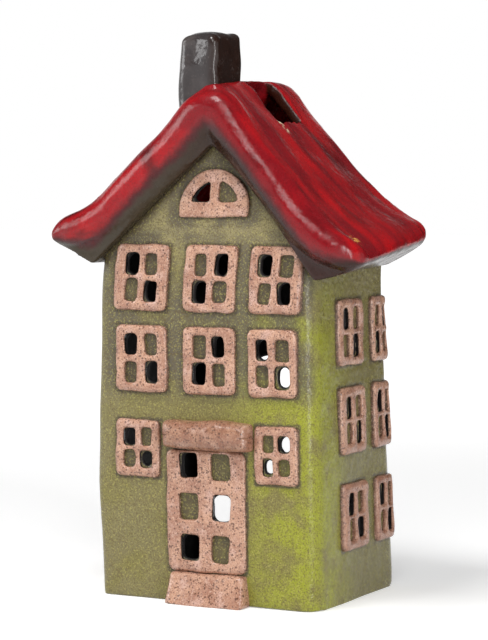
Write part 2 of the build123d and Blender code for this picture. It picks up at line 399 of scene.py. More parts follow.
@dataclass
class Slump:
    """The uneven settling of soft clay, as shifts at the points of a lattice."""

    name: str
    low: Point
    high: Point
    counts: tuple[int, int, int]
    shift: Callable[[float, float, float], Point]

    def lattice(self) -> Piece:
        """Build the lattice with its points already shifted."""
        Bench.clear()
        spans = [b - a for a, b in zip(self.low, self.high)]
        bpy.ops.object.add(type="LATTICE", location=[(a + b) / 2 * MM for a, b in zip(self.low, self.high)])
        cage = bpy.context.object
        cage.name = self.name
        cage.scale = [span * MM for span in spans]
        grid = cage.data
        grid.points_u, grid.points_v, grid.points_w = self.counts
        for point in grid.points:
            rest = [a + span * (at + 0.5) for a, span, at in zip(self.low, spans, point.co)]
            point.co_deform = [at + push / span for at, push, span in zip(point.co, self.shift(*rest), spans)]
        return cage

    def apply(self, pieces: Iterable[Piece]) -> None:
        """Settle each of the pieces with the same lattice, then remove it."""
        cage = self.lattice()
        for piece in pieces:
            Bench.finish(piece, "LATTICE", object=cage)
        data = cage.data
        bpy.data.objects.remove(cage)
        bpy.data.lattices.remove(data)


@dataclass
class Tile:
    """One applied window tile with its panes."""

    node: str
    side: Side
    pane: Pair
    bar: Pair
    open_first: bool
    rows: int = 2
    relief: float = 2.2
    root: float = 1.6
    corner: float = 3.0
    rim: float = 1.8
    grain: float = 0.6
    wipes: int = 6
    shift: Pair = (0.0, 0.0)
    nudge: float = 0.0
    widening: float = 0.0
    punch: Pair = (-9.0, 6.0)
    pane_slack: float = 0.15
    hole_slack: float = -0.2
    pane_slips: tuple[Pair, Pair] = ((-0.25, 0.3), (-0.35, 0.35))
    pane_rounding: Pair = (1.0, 1.7)
    pane_turn: Pair = (-0.06, 0.06)
    pane_shift: Pair = (-0.3, 0.3)
    turn: Pair = (-0.018, 0.018)
    dents: Pair = (0.5, 8.0)
    centre: Pair = field(init=False)
    size: Pair = field(init=False)

    def __post_init__(self) -> None:
        """Read the tile's place and size from its solid."""
        low, high = [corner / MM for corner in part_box(self.node)]
        across = 1 if self.side.value[0] else 0
        sign = -1 if self.side is Side.LEFT else 1
        self.centre = (sign * ((low[across] + high[across]) / 2 + self.nudge), (low.z + high.z) / 2)
        self.size = (high[across] - low[across] + self.widening, high.z - low.z)

    def panes(self) -> list[tuple[float, float, bool]]:
        """Each pane's middle from the tile's middle, and whether the wall is pierced behind it."""
        found = []
        for row in range(self.rows):
            for column in range(2):
                right = self.shift[0] + (column - 0.5) * (self.pane[0] + self.bar[0])
                up = self.shift[1] + ((self.rows - 1) / 2 - row) * (self.pane[1] + self.bar[1])
                found.append((right, up, ((row + column) % 2 == 0) == self.open_first))
        return found

    def in_pane(self, places: np.ndarray, right: float, up: float) -> np.ndarray:
        """Which spots lie in a pane or on the near half of the bars round it."""
        reach = [(pane + bar) / 2 for pane, bar in zip(self.pane, self.bar)]
        return (np.abs(places[:, 0] - right) < reach[0]) & (np.abs(places[:, 1] - up) < reach[1])

    def blank(self) -> Piece:
        """Shape the tile without its panes, flat on the bench."""
        half = (self.size[0] / 2, self.size[1] / 2)
        tile = Bench.block("blank", (-half[0], -half[1], -self.root), (half[0], half[1], self.relief))
        middle = (self.relief - self.root) / 2

        def upright(p: Vector) -> bool:
            """Whether an edge stands upright at one side of the tile."""
            return abs(p.z - middle) < 0.1 and abs(abs(p.x) - half[0]) < 0.1

        Bench.round_edges(tile, upright, self.corner, 5)
        Bench.round_edges(tile, lambda p: p.z > self.relief - 0.1, self.rim, 4)
        return tile

    def place(self, piece: Piece, shell: Shell, turn: float = 0.0) -> None:
        """Lay a flat piece on its wall, round the corner where it reaches that far."""
        spin = Matrix.Rotation(turn, 4, "Z")
        move = Matrix.Translation((self.centre[0] * MM, self.centre[1] * MM, 0))
        piece.data.transform(move @ spin)
        Bench.press(piece, shell.fold(self.side, Bench.corners(piece)))
        piece.data.transform(shell.face(self.side))

    def pane_tool(self, right: float, up: float, hand: random.Random, slack: float, chips: int) -> Piece:
        """A punch for one pane.

        Args:
            right: The pane's middle, to the right of the tile's.
            up: The pane's middle, above the tile's.
            hand: The maker's unsteadiness.
            slack: How much larger than the pane the punch is.
            chips: How many facets each corner has.

        Returns:
            The punch, on the bench.
        """
        low, high = self.punch
        wide = self.pane[0] / 2 + slack + hand.uniform(*self.pane_slips[0])
        tall = self.pane[1] / 2 + slack + hand.uniform(*self.pane_slips[1])
        tool = Bench.block("punch", (-wide, -tall, low), (wide, tall, high))
        rounding = hand.uniform(*self.pane_rounding)
        Bench.round_edges(tool, lambda p: abs(p.z - (low + high) / 2) < 0.1, rounding, chips)
        tool.data.transform(Matrix.Rotation(hand.uniform(*self.pane_turn), 4, "Z"))
        place = (right + hand.uniform(*self.pane_shift), up + hand.uniform(*self.pane_shift), 0)
        tool.data.transform(Matrix.Translation(Vector(place) * MM))
        return tool

    def build(self, shell: Shell, blank: Piece, hand: random.Random) -> Piece:
        """Make the tile.

        Args:
            shell: The walls.
            blank: The shaped tile without panes.
            hand: The maker's unsteadiness.

        Returns:
            The tile on its wall.
        """
        tile = Bench.copy(blank, f"{self.node}_tile")
        tools = [self.pane_tool(right, up, hand, self.pane_slack, 3) for right, up, _ in self.panes()]
        Bench.cut(tile, Bench.join("punches", tools))
        Bench.soften(tile, self.grain, self.wipes)
        places = Bench.corners(tile)
        # The frame glaze reads these depths to paint shade into the pane jambs and near-black into the open
        # panes.
        Bench.paint(tile, "sunk", self.relief - places[:, 2])
        pierced = [self.in_pane(places, right, up) for right, up, is_open in self.panes() if is_open]
        Bench.paint(tile, "pierced", np.where(np.any(pierced, axis=0), self.relief - places[:, 2], 0.0))
        Bench.dent(tile, *self.dents, hand.uniform(0, 9))
        self.place(tile, shell, hand.uniform(*self.turn))
        return tile

    def holes(self, shell: Shell, hand: random.Random) -> list[Piece]:
        """Knives for the holes in the wall behind the open panes."""
        knives = []
        for right, up, is_open in self.panes():
            if is_open:
                knife = self.pane_tool(right, up, hand, self.hole_slack, 1)
                knife.data.transform(Matrix.Translation((self.centre[0] * MM, self.centre[1] * MM, 0)))
                knife.data.transform(shell.face(self.side))
                knives.append(knife)
        return knives


@dataclass
class Fanlight(Tile):
    """The half-round tile in the gable, with a pane each side of an upright bar."""

    border: float = 5.3
    sill: float = 6.9
    upright: float = 4.5

    def radius(self) -> float:
        """The radius of the arch."""
        return self.size[0] / 2

    def spring(self) -> float:
        """The height of the arch's middle above the tile's middle."""
        return self.size[1] / 2 - self.radius()

    def blank(self) -> Piece:
        """Shape the half-round tile, flat on the bench."""
        half = self.size[1] / 2
        middle = (self.relief - self.root) / 2
        depth = self.relief + self.root
        wide = self.radius()
        tile = Bench.rod("blank", (0, self.spring(), middle), wide, depth, False, 64)
        legs = Bench.block("legs", (-wide, -half, -self.root), (wide, self.spring(), self.relief))
        Bench.round_edges(legs, lambda p: p.y < -half + 0.1 and abs(p.z - middle) < 0.1, self.corner, 5)
        floor = Bench.block("floor", (-2 * half, -3 * half, -9), (2 * half, -half, 9))
        Bench.cut(tile, floor)
        Bench.cut(tile, legs, "UNION")
        return tile

    def panes(self) -> list[tuple[float, float, bool]]:
        """The two panes; only the left-hand one is open."""
        return [(-1.0, 0.0, True), (1.0, 0.0, False)]

    def in_pane(self, places: np.ndarray, right: float, up: float) -> np.ndarray:
        """Which spots lie in one of the two panes or on the near half of the clay round it."""
        away = np.hypot(places[:, 0], places[:, 1] - self.spring())
        above = places[:, 1] > (self.sill - self.size[1]) / 2
        return (away < self.radius() - self.border / 2) & above & (places[:, 0] * right > 0)

    def pane_tool(self, right: float, up: float, hand: random.Random, slack: float, chips: int) -> Piece:
        """A quarter-round punch, on the side of the bar that the sign of right gives."""
        inner = self.radius() - self.border + slack
        low = self.sill - self.size[1] / 2 - slack
        bar = self.upright / 2 - slack
        start, end = self.punch
        tool = Bench.rod("punch", (0, self.spring(), (start + end) / 2), inner, end - start, False, 40)
        Bench.cut(tool, Bench.block("below", (-FAR, -FAR, -FAR), (FAR, low, FAR)))
        beside = (-FAR, -FAR, -FAR), (bar, FAR, FAR)
        if right < 0:
            beside = (-bar, -FAR, -FAR), (FAR, FAR, FAR)
        Bench.cut(tool, Bench.block("beside", *beside))
        return tool


@dataclass
class HouseWalls:
    """The four walls, luted into one leaning tube with a gable at each end."""

    shell: Shell
    arch_radius: float = 40.0
    arch_top: float = 105.0
    arch_start: float = 9.0
    floor: float = 4.5
    left_corner: float = 5.0
    room_corner: float = 4.0
    bedding: float = 3.0
    spare: Pair = (5.0, 9.0)
    grain: float = 1.2
    wipes: int = 6
    dents: Point = (0.5, 26.0, 3.7)
    tile_reach: float = 1.4

    def tube(self, name: str, inset: float, top: float, corner: float) -> Piece:
        """A leaning block.

        Args:
            name: The piece's name.
            inset: How far inside the outer faces it stays.
            top: Its height.
            corner: The rounding of its uprights.

        Returns:
            The block.
        """
        half_w = self.shell.width / 2 - inset
        half_d = self.shell.depth / 2 - inset
        block = Bench.block(name, (-half_w, -half_d, -inset), (half_w, half_d, top))
        narrow_w = (self.shell.half_span(Side.FRONT, top) - inset) / half_w
        narrow_d = (self.shell.half_span(Side.RIGHT, top) - inset) / half_d
        Bench.narrow(block, top - 1, narrow_w, narrow_d)

        def upright(p: Vector) -> bool:
            """Whether an edge stands upright at a corner of the block."""
            return 1 < p.z < top - 1 and abs(p.x) > 9 and abs(p.y) > 9

        Bench.round_edges(block, lambda p: upright(p) and (p.x > 0 or p.y > 0), corner, 6)
        sharper = min(corner, self.left_corner)
        Bench.round_edges(block, lambda p: upright(p) and p.x < -half_w + 4 and p.y < -half_d + 4, sharper, 5)
        return block

    def cut_gable(self, walls: Piece) -> None:
        """Trim the walls along the two slopes that carry the roof."""
        peak = (0, 0, (self.shell.gable_top + self.bedding) * MM)
        for lean in (-1, 1):
            Bench.edit(walls, "FACE", lambda p: True)
            bpy.ops.mesh.bisect(plane_co=peak, plane_no=(lean, 0, 1), use_fill=True, clear_outer=True)
            bpy.ops.object.mode_set(mode="OBJECT")

    def arch(self) -> Piece:
        """The knife for the arched opening in the back wall."""
        spring = self.arch_top - self.arch_radius
        near, far = self.arch_start, self.shell.depth
        knife = Bench.block("arch", (-self.arch_radius, near, self.floor), (self.arch_radius, far, spring))
        middle = (0, (near + far) / 2, spring)
        round_top = Bench.rod("arch_top", middle, self.arch_radius, far - near, True, 64)
        Bench.cut(knife, round_top, "UNION")
        return knife

    def build(self, tiles: list[Tile], hand: random.Random) -> Piece:
        """Make the walls.

        Args:
            tiles: The tiles whose open panes go through.
            hand: The maker's unsteadiness.

        Returns:
            The walls as one skin.
        """
        walls_top, room_top = [self.shell.gable_top + spare for spare in self.spare]
        walls = self.tube("clay_walls", 0.0, walls_top, self.shell.corner)
        self.cut_gable(walls)
        inner = self.tube("room", self.shell.thickness, room_top, self.room_corner)
        Bench.cut(walls, inner)
        Bench.cut(walls, self.arch())
        knives = [knife for tile in tiles for knife in tile.holes(self.shell, hand)]
        Bench.cut(walls, Bench.join("knives", knives))
        Bench.soften(walls, self.grain, self.wipes)
        self.mark(walls, tiles)
        Bench.dent(walls, *self.dents)
        return walls

    def mark(self, walls: Piece, tiles: list[Tile]) -> None:
        """Store how far each spot is from the nearest tile (below 0 behind it) and how deep it lies."""
        places = Bench.corners(walls)
        near = np.full(len(places), FAR)
        for tile in tiles:
            back = np.array(self.shell.face(tile.side).inverted())
            flat = places @ back[:3, :3].T + back[:3, 3] / MM
            right = np.abs(flat[:, 0] - tile.centre[0]) - tile.size[0] / 2
            up = np.abs(flat[:, 1] - tile.centre[1]) - tile.size[1] / 2
            outside = np.hypot(np.clip(right, 0, None), np.clip(up, 0, None))
            outside += np.clip(np.maximum(right, up), None, 0)
            near = np.minimum(near, np.where(flat[:, 2] > -self.tile_reach * self.shell.corner, outside, FAR))
        half = [self.shell.half_span(side, places[:, 2]) for side in (Side.FRONT, Side.RIGHT)]
        past = [np.abs(places[:, axis]) - half[axis] + self.shell.corner for axis in (0, 1)]
        deep = self.shell.corner - np.hypot(*np.clip(past, 0, None)) - np.minimum(np.maximum(*past), 0)
        Bench.paint(walls, "tile_near", near)
        Bench.paint(walls, "inward", deep)


@dataclass
class Roof:
    """The thick roof with flared eaves, rolled rims and a heat vent."""

    shell: Shell
    top: tuple[Pair, ...] = (
        (3.5, 228.4), (8.0, 224.2), (14.0, 217.4), (20.0, 211.0), (30.0, 200.8), (37.0, 193.8),
        (44.0, 187.0), (50.5, 181.0), (57.0, 176.4), (63.0, 172.6), (68.0, 169.8), (71.8, 167.0),
    )
    tip: tuple[Pair, ...] = ((74.6, 163.8), (74.2, 160.4), (71.6, 158.4))
    under: tuple[Pair, ...] = ((66.0, 155.2), (60.0, 152.0), (54.0, 149.0))
    crown: float = 229.6
    front: float = -51.0
    back: float = 42.8
    roll: tuple[Point, ...] = (
        (0.0, 221.8, 9.6), (12.0, 205.6, 9.6), (30.0, 187.2, 9.6), (46.0, 171.6, 9.6), (56.0, 166.4, 9.0),
        (64.0, 164.6, 7.8), (68.6, 163.8, 6.6), (71.4, 163.2, 4.6), (72.8, 163.0, 2.2),
    )
    half_width: float = 75.0
    plan_corners: Point = (4.0, 13.0, 12.0)
    plan_reach: float = 26.0
    slab: float = 5.2
    vent_box: tuple[Point, Point] = ((1.0, -9.4, -12.0), (26.6, 16.8, 12.0))
    vent_height: float = 231.0
    vent_rounding: float = 2.0
    vent_grain: float = 1.4
    vent_dents: Pair = (0.9, 5.0)
    room_slack: float = 1.5
    room_lift: float = 1.4
    room_ends: float = 5.0
    room_floor: float = 100.0
    front_roll: float = 7.0
    back_roll: float = 6.0
    back_share: float = 0.85
    grain: float = 1.1
    wipes: int = 5
    stretch: float = 9.0
    combing: Pair = (7.0, 2.5)
    patches: Pair = (30.0, 1.7)
    swells: Pair = (17.0, 6.1)
    comb_height: float = 0.55
    swell_height: float = 0.7

    def section(self) -> list[Pair]:
        """The roof's section across the house, once round."""
        right = [*self.top, *self.tip, *self.under]
        left = [(-x, z) for x, z in reversed(right)]
        return [(0, self.crown), *right, (0, self.shell.gable_top), *left]

    def hollow(self) -> Piece:
        """The room under the roof."""
        wide = self.shell.width / 2 - self.shell.thickness - self.room_slack
        peak = self.crown + self.room_lift - self.slab * math.sqrt(2)
        reach = self.shell.depth / 2 - self.shell.thickness - self.room_ends
        floor = self.room_floor
        outline = [(-wide, floor), (wide, floor), (wide, peak - wide), (0, peak), (-wide, peak - wide)]
        return Bench.slab("room_under_roof", outline, -reach, reach)

    def vent(self, hand: random.Random) -> Piece:
        """The rough knife cut for the heat vent, square to the right-hand slope."""
        knife = Bench.block("vent", *self.vent_box)
        Bench.round_edges(knife, lambda p: abs(p.z) < 1, self.vent_rounding, 3)
        Bench.soften(knife, self.vent_grain, 1)
        Bench.dent(knife, *self.vent_dents, hand.uniform(0, 9))
        lift = Matrix.Translation((0, 0, self.vent_height * MM))
        knife.data.transform(lift @ Matrix.Rotation(math.radians(45), 4, "Y"))
        return knife

    def rim(self, y: float, shrink: float) -> Piece:
        """Roll the coil that makes one gable rim.

        Args:
            y: The rim's outer end.
            shrink: The share of the full thickness that the coil has.

        Returns:
            The coil.
        """
        inward = 1 if y < 0 else -1
        right = [(x, y + inward * radius * shrink, z, radius * shrink) for x, z, radius in self.roll]
        left = [(-x, *rest) for x, *rest in reversed(right[1:])]
        return Bench.coil("rim", [*left, *right])

    def build(self, hand: random.Random) -> Piece:
        """Make the roof as one skin."""
        rims = [self.rim(self.front, 1.0), self.rim(self.back, self.back_share)]
        start, end = self.front + self.front_roll, self.back - self.back_roll
        body = Bench.slab("clay_roof", self.section(), start, end)
        roof = Bench.join("clay_roof", [body, *rims])
        Bench.soften(roof, self.grain, 0)
        Bench.cut(roof, self.hollow())
        Bench.cut(roof, self.vent(hand))
        Bench.soften(roof, self.grain, self.wipes)
        self.round_plan(roof)
        self.mark(roof)
        self.comb(roof)
        return roof

    def round_plan(self, roof: Piece) -> None:
        """Draw the four corners of the roof in, as seen from above."""
        places = Bench.corners(roof)
        half = (self.back - self.front) / 2
        middle = (self.back + self.front) / 2
        left_front, right_front, rear = self.plan_corners
        x, along = places[:, 0], places[:, 1] - middle
        radius = np.where(along > 0, rear, np.where(x > 0, right_front, left_front))
        over = np.clip(np.abs(x) - (self.half_width - radius), 0, radius)
        drawn = radius - np.sqrt(np.maximum(radius**2 - over**2, 0))
        near = np.clip((np.abs(along) - (half - self.plan_reach)) / self.plan_reach, 0, 1)
        places[:, 1] -= np.sign(along) * drawn * near**2 * (3 - 2 * near)
        Bench.press(roof, places)

    def mark(self, roof: Piece) -> None:
        """Store how high each spot is in the thickness of the roof, from 0 below to 1 above."""
        places = Bench.corners(roof)
        out = np.abs(places[:, 0])
        above = [(0, self.crown), *self.top, self.tip[0]]
        below = [(0, self.shell.gable_top), *reversed(self.under), self.tip[2]]
        high = np.interp(out, *zip(*above))
        low = np.interp(out, *zip(*below))
        Bench.paint(roof, "rise", (places[:, 2] - low) / (high - low))

    def comb(self, roof: Piece) -> None:
        """Raise the low ridges that fingers left when they wiped the clay down the slopes."""
        places = Bench.corners(roof)
        outward = Bench.outward(roof)
        x, y, z = places.T
        drawn = np.column_stack([y, (np.abs(x) - z) / self.stretch, np.zeros(len(y))])
        patch = np.clip(Bench.waves(places, *self.patches) + 0.3, 0, 1)
        ridge = self.comb_height * Bench.waves(drawn, *self.combing) * patch
        swell = self.swell_height * Bench.waves(places, *self.swells)
        height = (ridge + swell) * np.clip((outward[:, 2] - 0.1) * 5, 0, 1)
        Bench.press(roof, places + outward * height[:, None])


@dataclass
class Chimney:
    """The chimney block on the left-hand slope."""

    grain: float = 0.8
    wipes: int = 6
    swell: float = 1.3
    slimming: float = 0.6
    root: float = 3.0
    rounding: float = 3.6
    top_share: Pair = (0.99, 0.97)
    dents: Point = (1.5, 12.0, 5.1)

    def build(self) -> Piece:
        """Make the chimney in the place of its solid."""
        low, high = [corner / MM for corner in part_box("chimney")]
        start = (low.x - self.swell, low.y - self.swell, low.z - self.root)
        end = (high.x + self.swell - self.slimming, high.y + self.swell, high.z)
        block = Bench.block("clay_chimney", start, end)
        Bench.narrow(block, high.z - 1, *self.top_share)
        Bench.round_edges(block, lambda p: p.z > low.z, self.rounding, 5)
        Bench.soften(block, self.grain, self.wipes)
        Bench.dent(block, *self.dents)
        return block


@dataclass
class Canopy:
    """The rolled canopy over the door."""

    shell: Shell
    root: float = 1.5
    nudge: float = -1.4
    shortening: float = 1.0
    thinning: float = 0.4
    rounding: float = 5.8
    end_rounding: float = 4.2
    waist: float = 0.54
    grain: float = 0.7
    wipes: int = 10
    dents: Point = (0.7, 13.0, 8.2)

    def build(self) -> Piece:
        """Make the canopy on the front wall."""
        low, high = [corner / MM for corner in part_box("door_canopy")]
        half = ((high.x - low.x) / 2 - self.shortening, (high.z - low.z) / 2)
        reach = high.y - low.y - self.thinning
        roll = Bench.block("clay_door_canopy", (-half[0], -half[1], -self.root), (half[0], half[1], reach))
        Bench.round_edges(roll, lambda p: p.z > reach - 0.1, self.rounding, 6)

        def at_end(p: Vector) -> bool:
            """Whether an edge runs round one end of the roll."""
            return abs(abs(p.x) - half[0]) < 0.1 and abs(p.z) < reach

        Bench.round_edges(roll, at_end, self.end_rounding, 4)
        Bench.soften(roll, self.grain, self.wipes)
        Bench.dent(roll, *self.dents)
        places = Bench.corners(roll)
        places[:, 1] -= self.waist * (places[:, 0] / half[0]) ** 2 * np.sign(places[:, 1])
        Bench.press(roll, places)
        middle = Vector(((low.x + high.x) / 2 + self.nudge, (low.z + high.z) / 2, 0)) * MM
        roll.data.transform(self.shell.face(Side.FRONT) @ Matrix.Translation(middle))
        return roll


@dataclass
class Doorstep:
    """The apron-like step below the door, flaring out to the ground."""

    grain: float = 0.7
    wipes: int = 8
    narrowing: float = 0.93
    flare: float = 4.6
    root: float = 1.5
    nudge: float = -1.2
    rounding: float = 1.9
    dents: Point = (0.5, 12.0, 1.3)

    def build(self) -> Piece:
        """Make the step in the place of its solid."""
        low, high = [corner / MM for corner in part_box("door_step")]
        left, right = low.x + self.nudge, high.x + self.nudge
        step = Bench.block("clay_doorstep", (left, low.y, low.z), (right, high.y + self.root, high.z))
        Bench.narrow(step, high.z - 0.1, self.narrowing, 1)
        for vertex in step.data.vertices:
            if vertex.co.z > high.z * MM / 2 and vertex.co.y < (low.y + 1) * MM:
                vertex.co.y += self.flare * MM
        Bench.round_edges(step, lambda p: p.y < low.y + 6 and p.z > 0.1, self.rounding, 4)
        Bench.soften(step, self.grain, self.wipes)
        Bench.dent(step, *self.dents)
        places = Bench.corners(step)
        places[:, 2] = np.clip(places[:, 2], 0.0, None)
        Bench.press(step, places)
        return step


@dataclass
class Tealight:
    """The tealight: a pressed cup with a rolled rim, its wax, its wick and the wick's steel foot."""

    folds: int = 36
    fold_depth: float = 0.006
    sheet: float = 0.4
    steps: int = 72
    plaits: int = 34
    wick_sway: float = 0.3
    wick_share: float = 0.78
    foot_bore: float = 1.02

    @staticmethod
    def turned(name: str, outline: list[Pair], steps: int) -> Piece:
        """Turn a closed outline round the upright axis.

        Args:
            name: The piece's name.
            outline: The half section's corners as (radius, height), once round.
            steps: How many facets one turn has.

        Returns:
            The turned piece, at the origin.
        """
        Bench.clear()
        bpy.ops.mesh.primitive_circle_add(vertices=len(outline), radius=MM)
        piece = bpy.context.object
        piece.name = name
        for vertex, (radius, height) in zip(piece.data.vertices, outline):
            vertex.co = (radius * MM, 0, height * MM)
        bpy.ops.object.mode_set(mode="EDIT")
        bpy.ops.mesh.select_all(action="SELECT")
        bpy.ops.mesh.spin(steps=steps, angle=2 * math.pi, center=(0, 0, 0), axis=(0, 0, 1))
        bpy.ops.mesh.select_all(action="SELECT")
        bpy.ops.mesh.remove_doubles(threshold=0.00001)
        bpy.ops.mesh.dissolve_degenerate(threshold=0.000001)
        bpy.ops.mesh.select_all(action="SELECT")
        bpy.ops.mesh.normals_make_consistent(inside=False)
        bpy.ops.object.mode_set(mode="OBJECT")
        Bench.take(piece)
        bpy.ops.object.shade_smooth_by_angle(angle=math.radians(40))
        return piece

    def cup(self) -> Piece:
        """Press the cup, with fine folds round its side and a rolled rim."""
        low, high = [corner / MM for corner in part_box("tealight_cup")]
        radius, tall = (high.x - low.x) / 2 - 0.6, high.z - low.z
        sheet = self.sheet
        outline = [
            (0, 0.5), (radius - 3.5, 0.5), (radius - 2.6, 0), (radius - 1.0, 0), (radius - 0.2, 0.7),
            (radius, 1.8), (radius, tall - 1.1), (radius + 0.45, tall - 0.85), (radius + 0.6, tall - 0.45),
            (radius + 0.4, tall - 0.1), (radius, tall), (radius - 0.35, tall - 0.2),
            (radius - sheet, tall - 0.8), (radius - sheet, 1.9), (radius - 0.7, 1.0), (radius - 1.3, sheet),
            (radius - 2.4, sheet), (radius - 3.3, 0.9), (0, 0.9),
        ]
        cup = self.turned("pressed_cup", outline, self.steps)
        places = Bench.corners(cup)
        around = np.arctan2(places[:, 1], places[:, 0])
        side = np.clip((places[:, 2] - 1.5) / 2, 0, 1) * np.clip((tall - 1.5 - places[:, 2]) / 2, 0, 1)
        pull = 1 - self.fold_depth * side * (np.cos(around * self.folds) > 0)
        places[:, :2] *= pull[:, None]
        Bench.press(cup, places)
        return self.stand(cup, low, high)

    def wax(self) -> Piece:
        """Pour the wax, drawn up at the cup and round the wick."""
        low, high = [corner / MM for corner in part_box("tealight_wax")]
        radius, tall = (high.x - low.x) / 2, high.z - low.z
        outline = [
            (0, 0), (radius - 1.2, 0), (radius - 0.2, 1.2), (radius, tall - 0.2), (radius - 0.15, tall),
            (radius - 0.9, tall - 0.35), (radius - 2.5, tall - 0.7), (radius * 0.5, tall - 0.85),
            (3.2, tall - 0.75), (1.7, tall - 0.45), (1.05, tall - 0.1), (0, tall - 0.1),
        ]
        return self.stand(self.turned("poured_wax", outline, self.steps), low, high)

    def wick(self) -> Piece:
        """Plait the wick, bent over a little at its tip."""
        low, high = [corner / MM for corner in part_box("wick")]
        radius, tall = (high.x - low.x) / 2, high.z - low.z
        twists = [0.9 + 0.1 * math.sin(step * 1.6) for step in range(self.plaits + 1)]
        side = [(radius * twist, tall * step / self.plaits) for step, twist in enumerate(twists)]
        wick = self.turned("plaited_wick", [(0, 0), *side, (0, tall)], 16)
        places = Bench.corners(wick)
        places[:, 0] += self.wick_sway * radius * np.sin(places[:, 2] * 2.4)
        places[:, :2] *= self.wick_share
        Bench.press(wick, places)
        return self.stand(wick, low, high)

    def foot(self) -> Piece:
        """Stamp the wick's steel foot, a dished disc with a crimped collar."""
        low, high = [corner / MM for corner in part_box("wick_holder")]
        radius, tall = (high.x - low.x) / 2, high.z - low.z
        collar = min(1.5, radius / 3)
        outline = [
            (self.foot_bore, 0), (radius - 0.5, 0), (radius, 0.1), (radius, 0.25), (radius - 0.6, 0.32),
            (collar + 0.8, 0.36), (collar + 0.2, 0.6), (collar, tall), (self.foot_bore, tall),
        ]
        return self.stand(self.turned("wick_foot", outline, 48), low, high)

    @staticmethod
    def stand(piece: Piece, low: Vector, high: Vector) -> Piece:
        """Stand a turned piece where its solid stands."""
        place = Vector(((low.x + high.x) / 2, (low.y + high.y) / 2, low.z))
        piece.data.transform(Matrix.Translation(place * MM))
        return piece


class Wire:
    """A value in a node tree that sums are written with as with a number."""

    def __init__(self, graph: "Graph", socket: bpy.types.NodeSocket) -> None:
        """Keep the socket that gives the value."""
        self.graph = graph
        self.socket = socket

    def __add__(self, other: object) -> "Wire":
        """This value plus another."""
        return self.graph.sum("ADD", self, other)

    def __sub__(self, other: object) -> "Wire":
        """This value less another."""
        return self.graph.sum("SUBTRACT", self, other)

    def __rsub__(self, other: object) -> "Wire":
        """Another value less this one."""
        return self.graph.sum("SUBTRACT", other, self)

    def __mul__(self, other: object) -> "Wire":
        """This value times another."""
        return self.graph.sum("MULTIPLY", self, other)

    def __or__(self, other: object) -> "Wire":
        """The greater of this value and another."""
        return self.graph.sum("MAXIMUM", self, other)

    def __abs__(self) -> "Wire":
        """This value without its sign."""
        return self.graph.sum("ABSOLUTE", self, 0.0)


class Graph:
    """Writes a node tree as plain calls."""

    def __init__(self, tree: bpy.types.NodeTree) -> None:
        """Start with a tree."""
        self.tree = tree

    @staticmethod
    def cleared(owner: bpy.types.Material | bpy.types.World) -> "Graph":
        """Empty the node tree of a new material or world."""
        owner.use_nodes = True
        owner.node_tree.nodes.clear()
        return Graph(owner.node_tree)

    def feed(self, socket: bpy.types.NodeSocket, value: object) -> None:
        """Give a socket a link or a value."""
        if isinstance(value, Wire):
            self.tree.links.new(value.socket, socket)
        elif socket.type == "RGBA":
            socket.default_value = (*value, 1.0)
        else:
            socket.default_value = value

    def add(self, kind: str, inputs: dict[int | str, object], **settings: object) -> bpy.types.Node:
        """Add a node.

        Args:
            kind: The node's kind, without the shader prefix.
            inputs: What feeds its sockets.
            settings: Its options.

        Returns:
            The node.
        """
        node = self.tree.nodes.new(f"ShaderNode{kind}")
        for key, value in settings.items():
            setattr(node, key, value)
        for key, value in inputs.items():
            self.feed(node.inputs[key], value)
        return node

    def take(self, output: int | str, kind: str, inputs: dict[int | str, object], **settings: object) -> Wire:
        """Add a node and take one of its outputs."""
        return Wire(self, self.add(kind, inputs, **settings).outputs[output])

    def surface(self, kind: str, shader: bpy.types.Node) -> None:
        """End the tree of a material or a world in a shader."""
        self.feed(self.add(f"Output{kind}", {}).inputs["Surface"], Wire(self, shader.outputs[0]))

    def sum(self, operation: str, first: object, second: object) -> Wire:
        """Work out one value from two."""
        return self.take(0, "Math", {0: first, 1: second}, operation=operation)

    def ramp(self, value: object, start: object, end: object) -> Wire:
        """Go smoothly from 0 at start to 1 at end."""
        sockets = {"Value": value, "From Min": start, "From Max": end}
        return self.take("Result", "MapRange", sockets, interpolation_type="SMOOTHSTEP")

    def within(self, value: Wire, start: Pair, end: Pair) -> Wire:
        """Go smoothly from 0 to 1 over the start, and back to 0 over the end."""
        return self.ramp(value, *start) * self.ramp(value, *end)

    def blend(self, share: object, first: object, second: object) -> Wire:
        """Go from the first colour to the second by a share."""
        return self.take(2, "Mix", {0: share, 6: first, 7: second}, data_type="RGBA")

    def spot(self, space: str = "Object") -> Wire:
        """The spot that is shaded, in metres, or the direction of a ray."""
        return self.take(space, "TexCoord", {})

    def place(self, spot: Wire | None = None) -> list[Wire]:
        """A spot's x, y and z."""
        split = self.add("SeparateXYZ", {0: spot or self.spot()})
        return [Wire(self, output) for output in split.outputs]

    def stored(self, name: str) -> Wire:
        """A value that a form stored under a name."""
        return self.take("Fac", "Attribute", {}, attribute_name=name)

    def noise(self, spot: Wire, **sockets: object) -> Wire:
        """Noise that a seed moves."""
        named = {key.title(): value for key, value in sockets.items()}
        return self.take("Fac", "TexNoise", {"Vector": spot, **named}, noise_dimensions="4D")

    def effect(self, maker: Callable[[], bpy.types.NodeTree], **values: object) -> Wire:
        """Place a shared effect with its own values."""
        node = self.tree.nodes.new("ShaderNodeGroup")
        node.node_tree = maker()
        for key, value in values.items():
            self.feed(node.inputs[key.title()], value)
        return Wire(self, node.outputs[0])

    def drift(self, scale: float, seed: float = 0.0, low: float = 0.4, high: float = 0.6) -> Wire:
        """Cloudy patches."""
        return self.effect(Effects.drift, scale=scale, seed=seed, low=low, high=high)

    def rough(self, least: float, scale: float) -> Wire:
        """The roughness of a glaze, a little uneven."""
        return self.drift(scale, ROUGH_SEED) * ROUGH_SPREAD + least


Writer = Callable[[Graph, dict[str, Wire]], Wire]


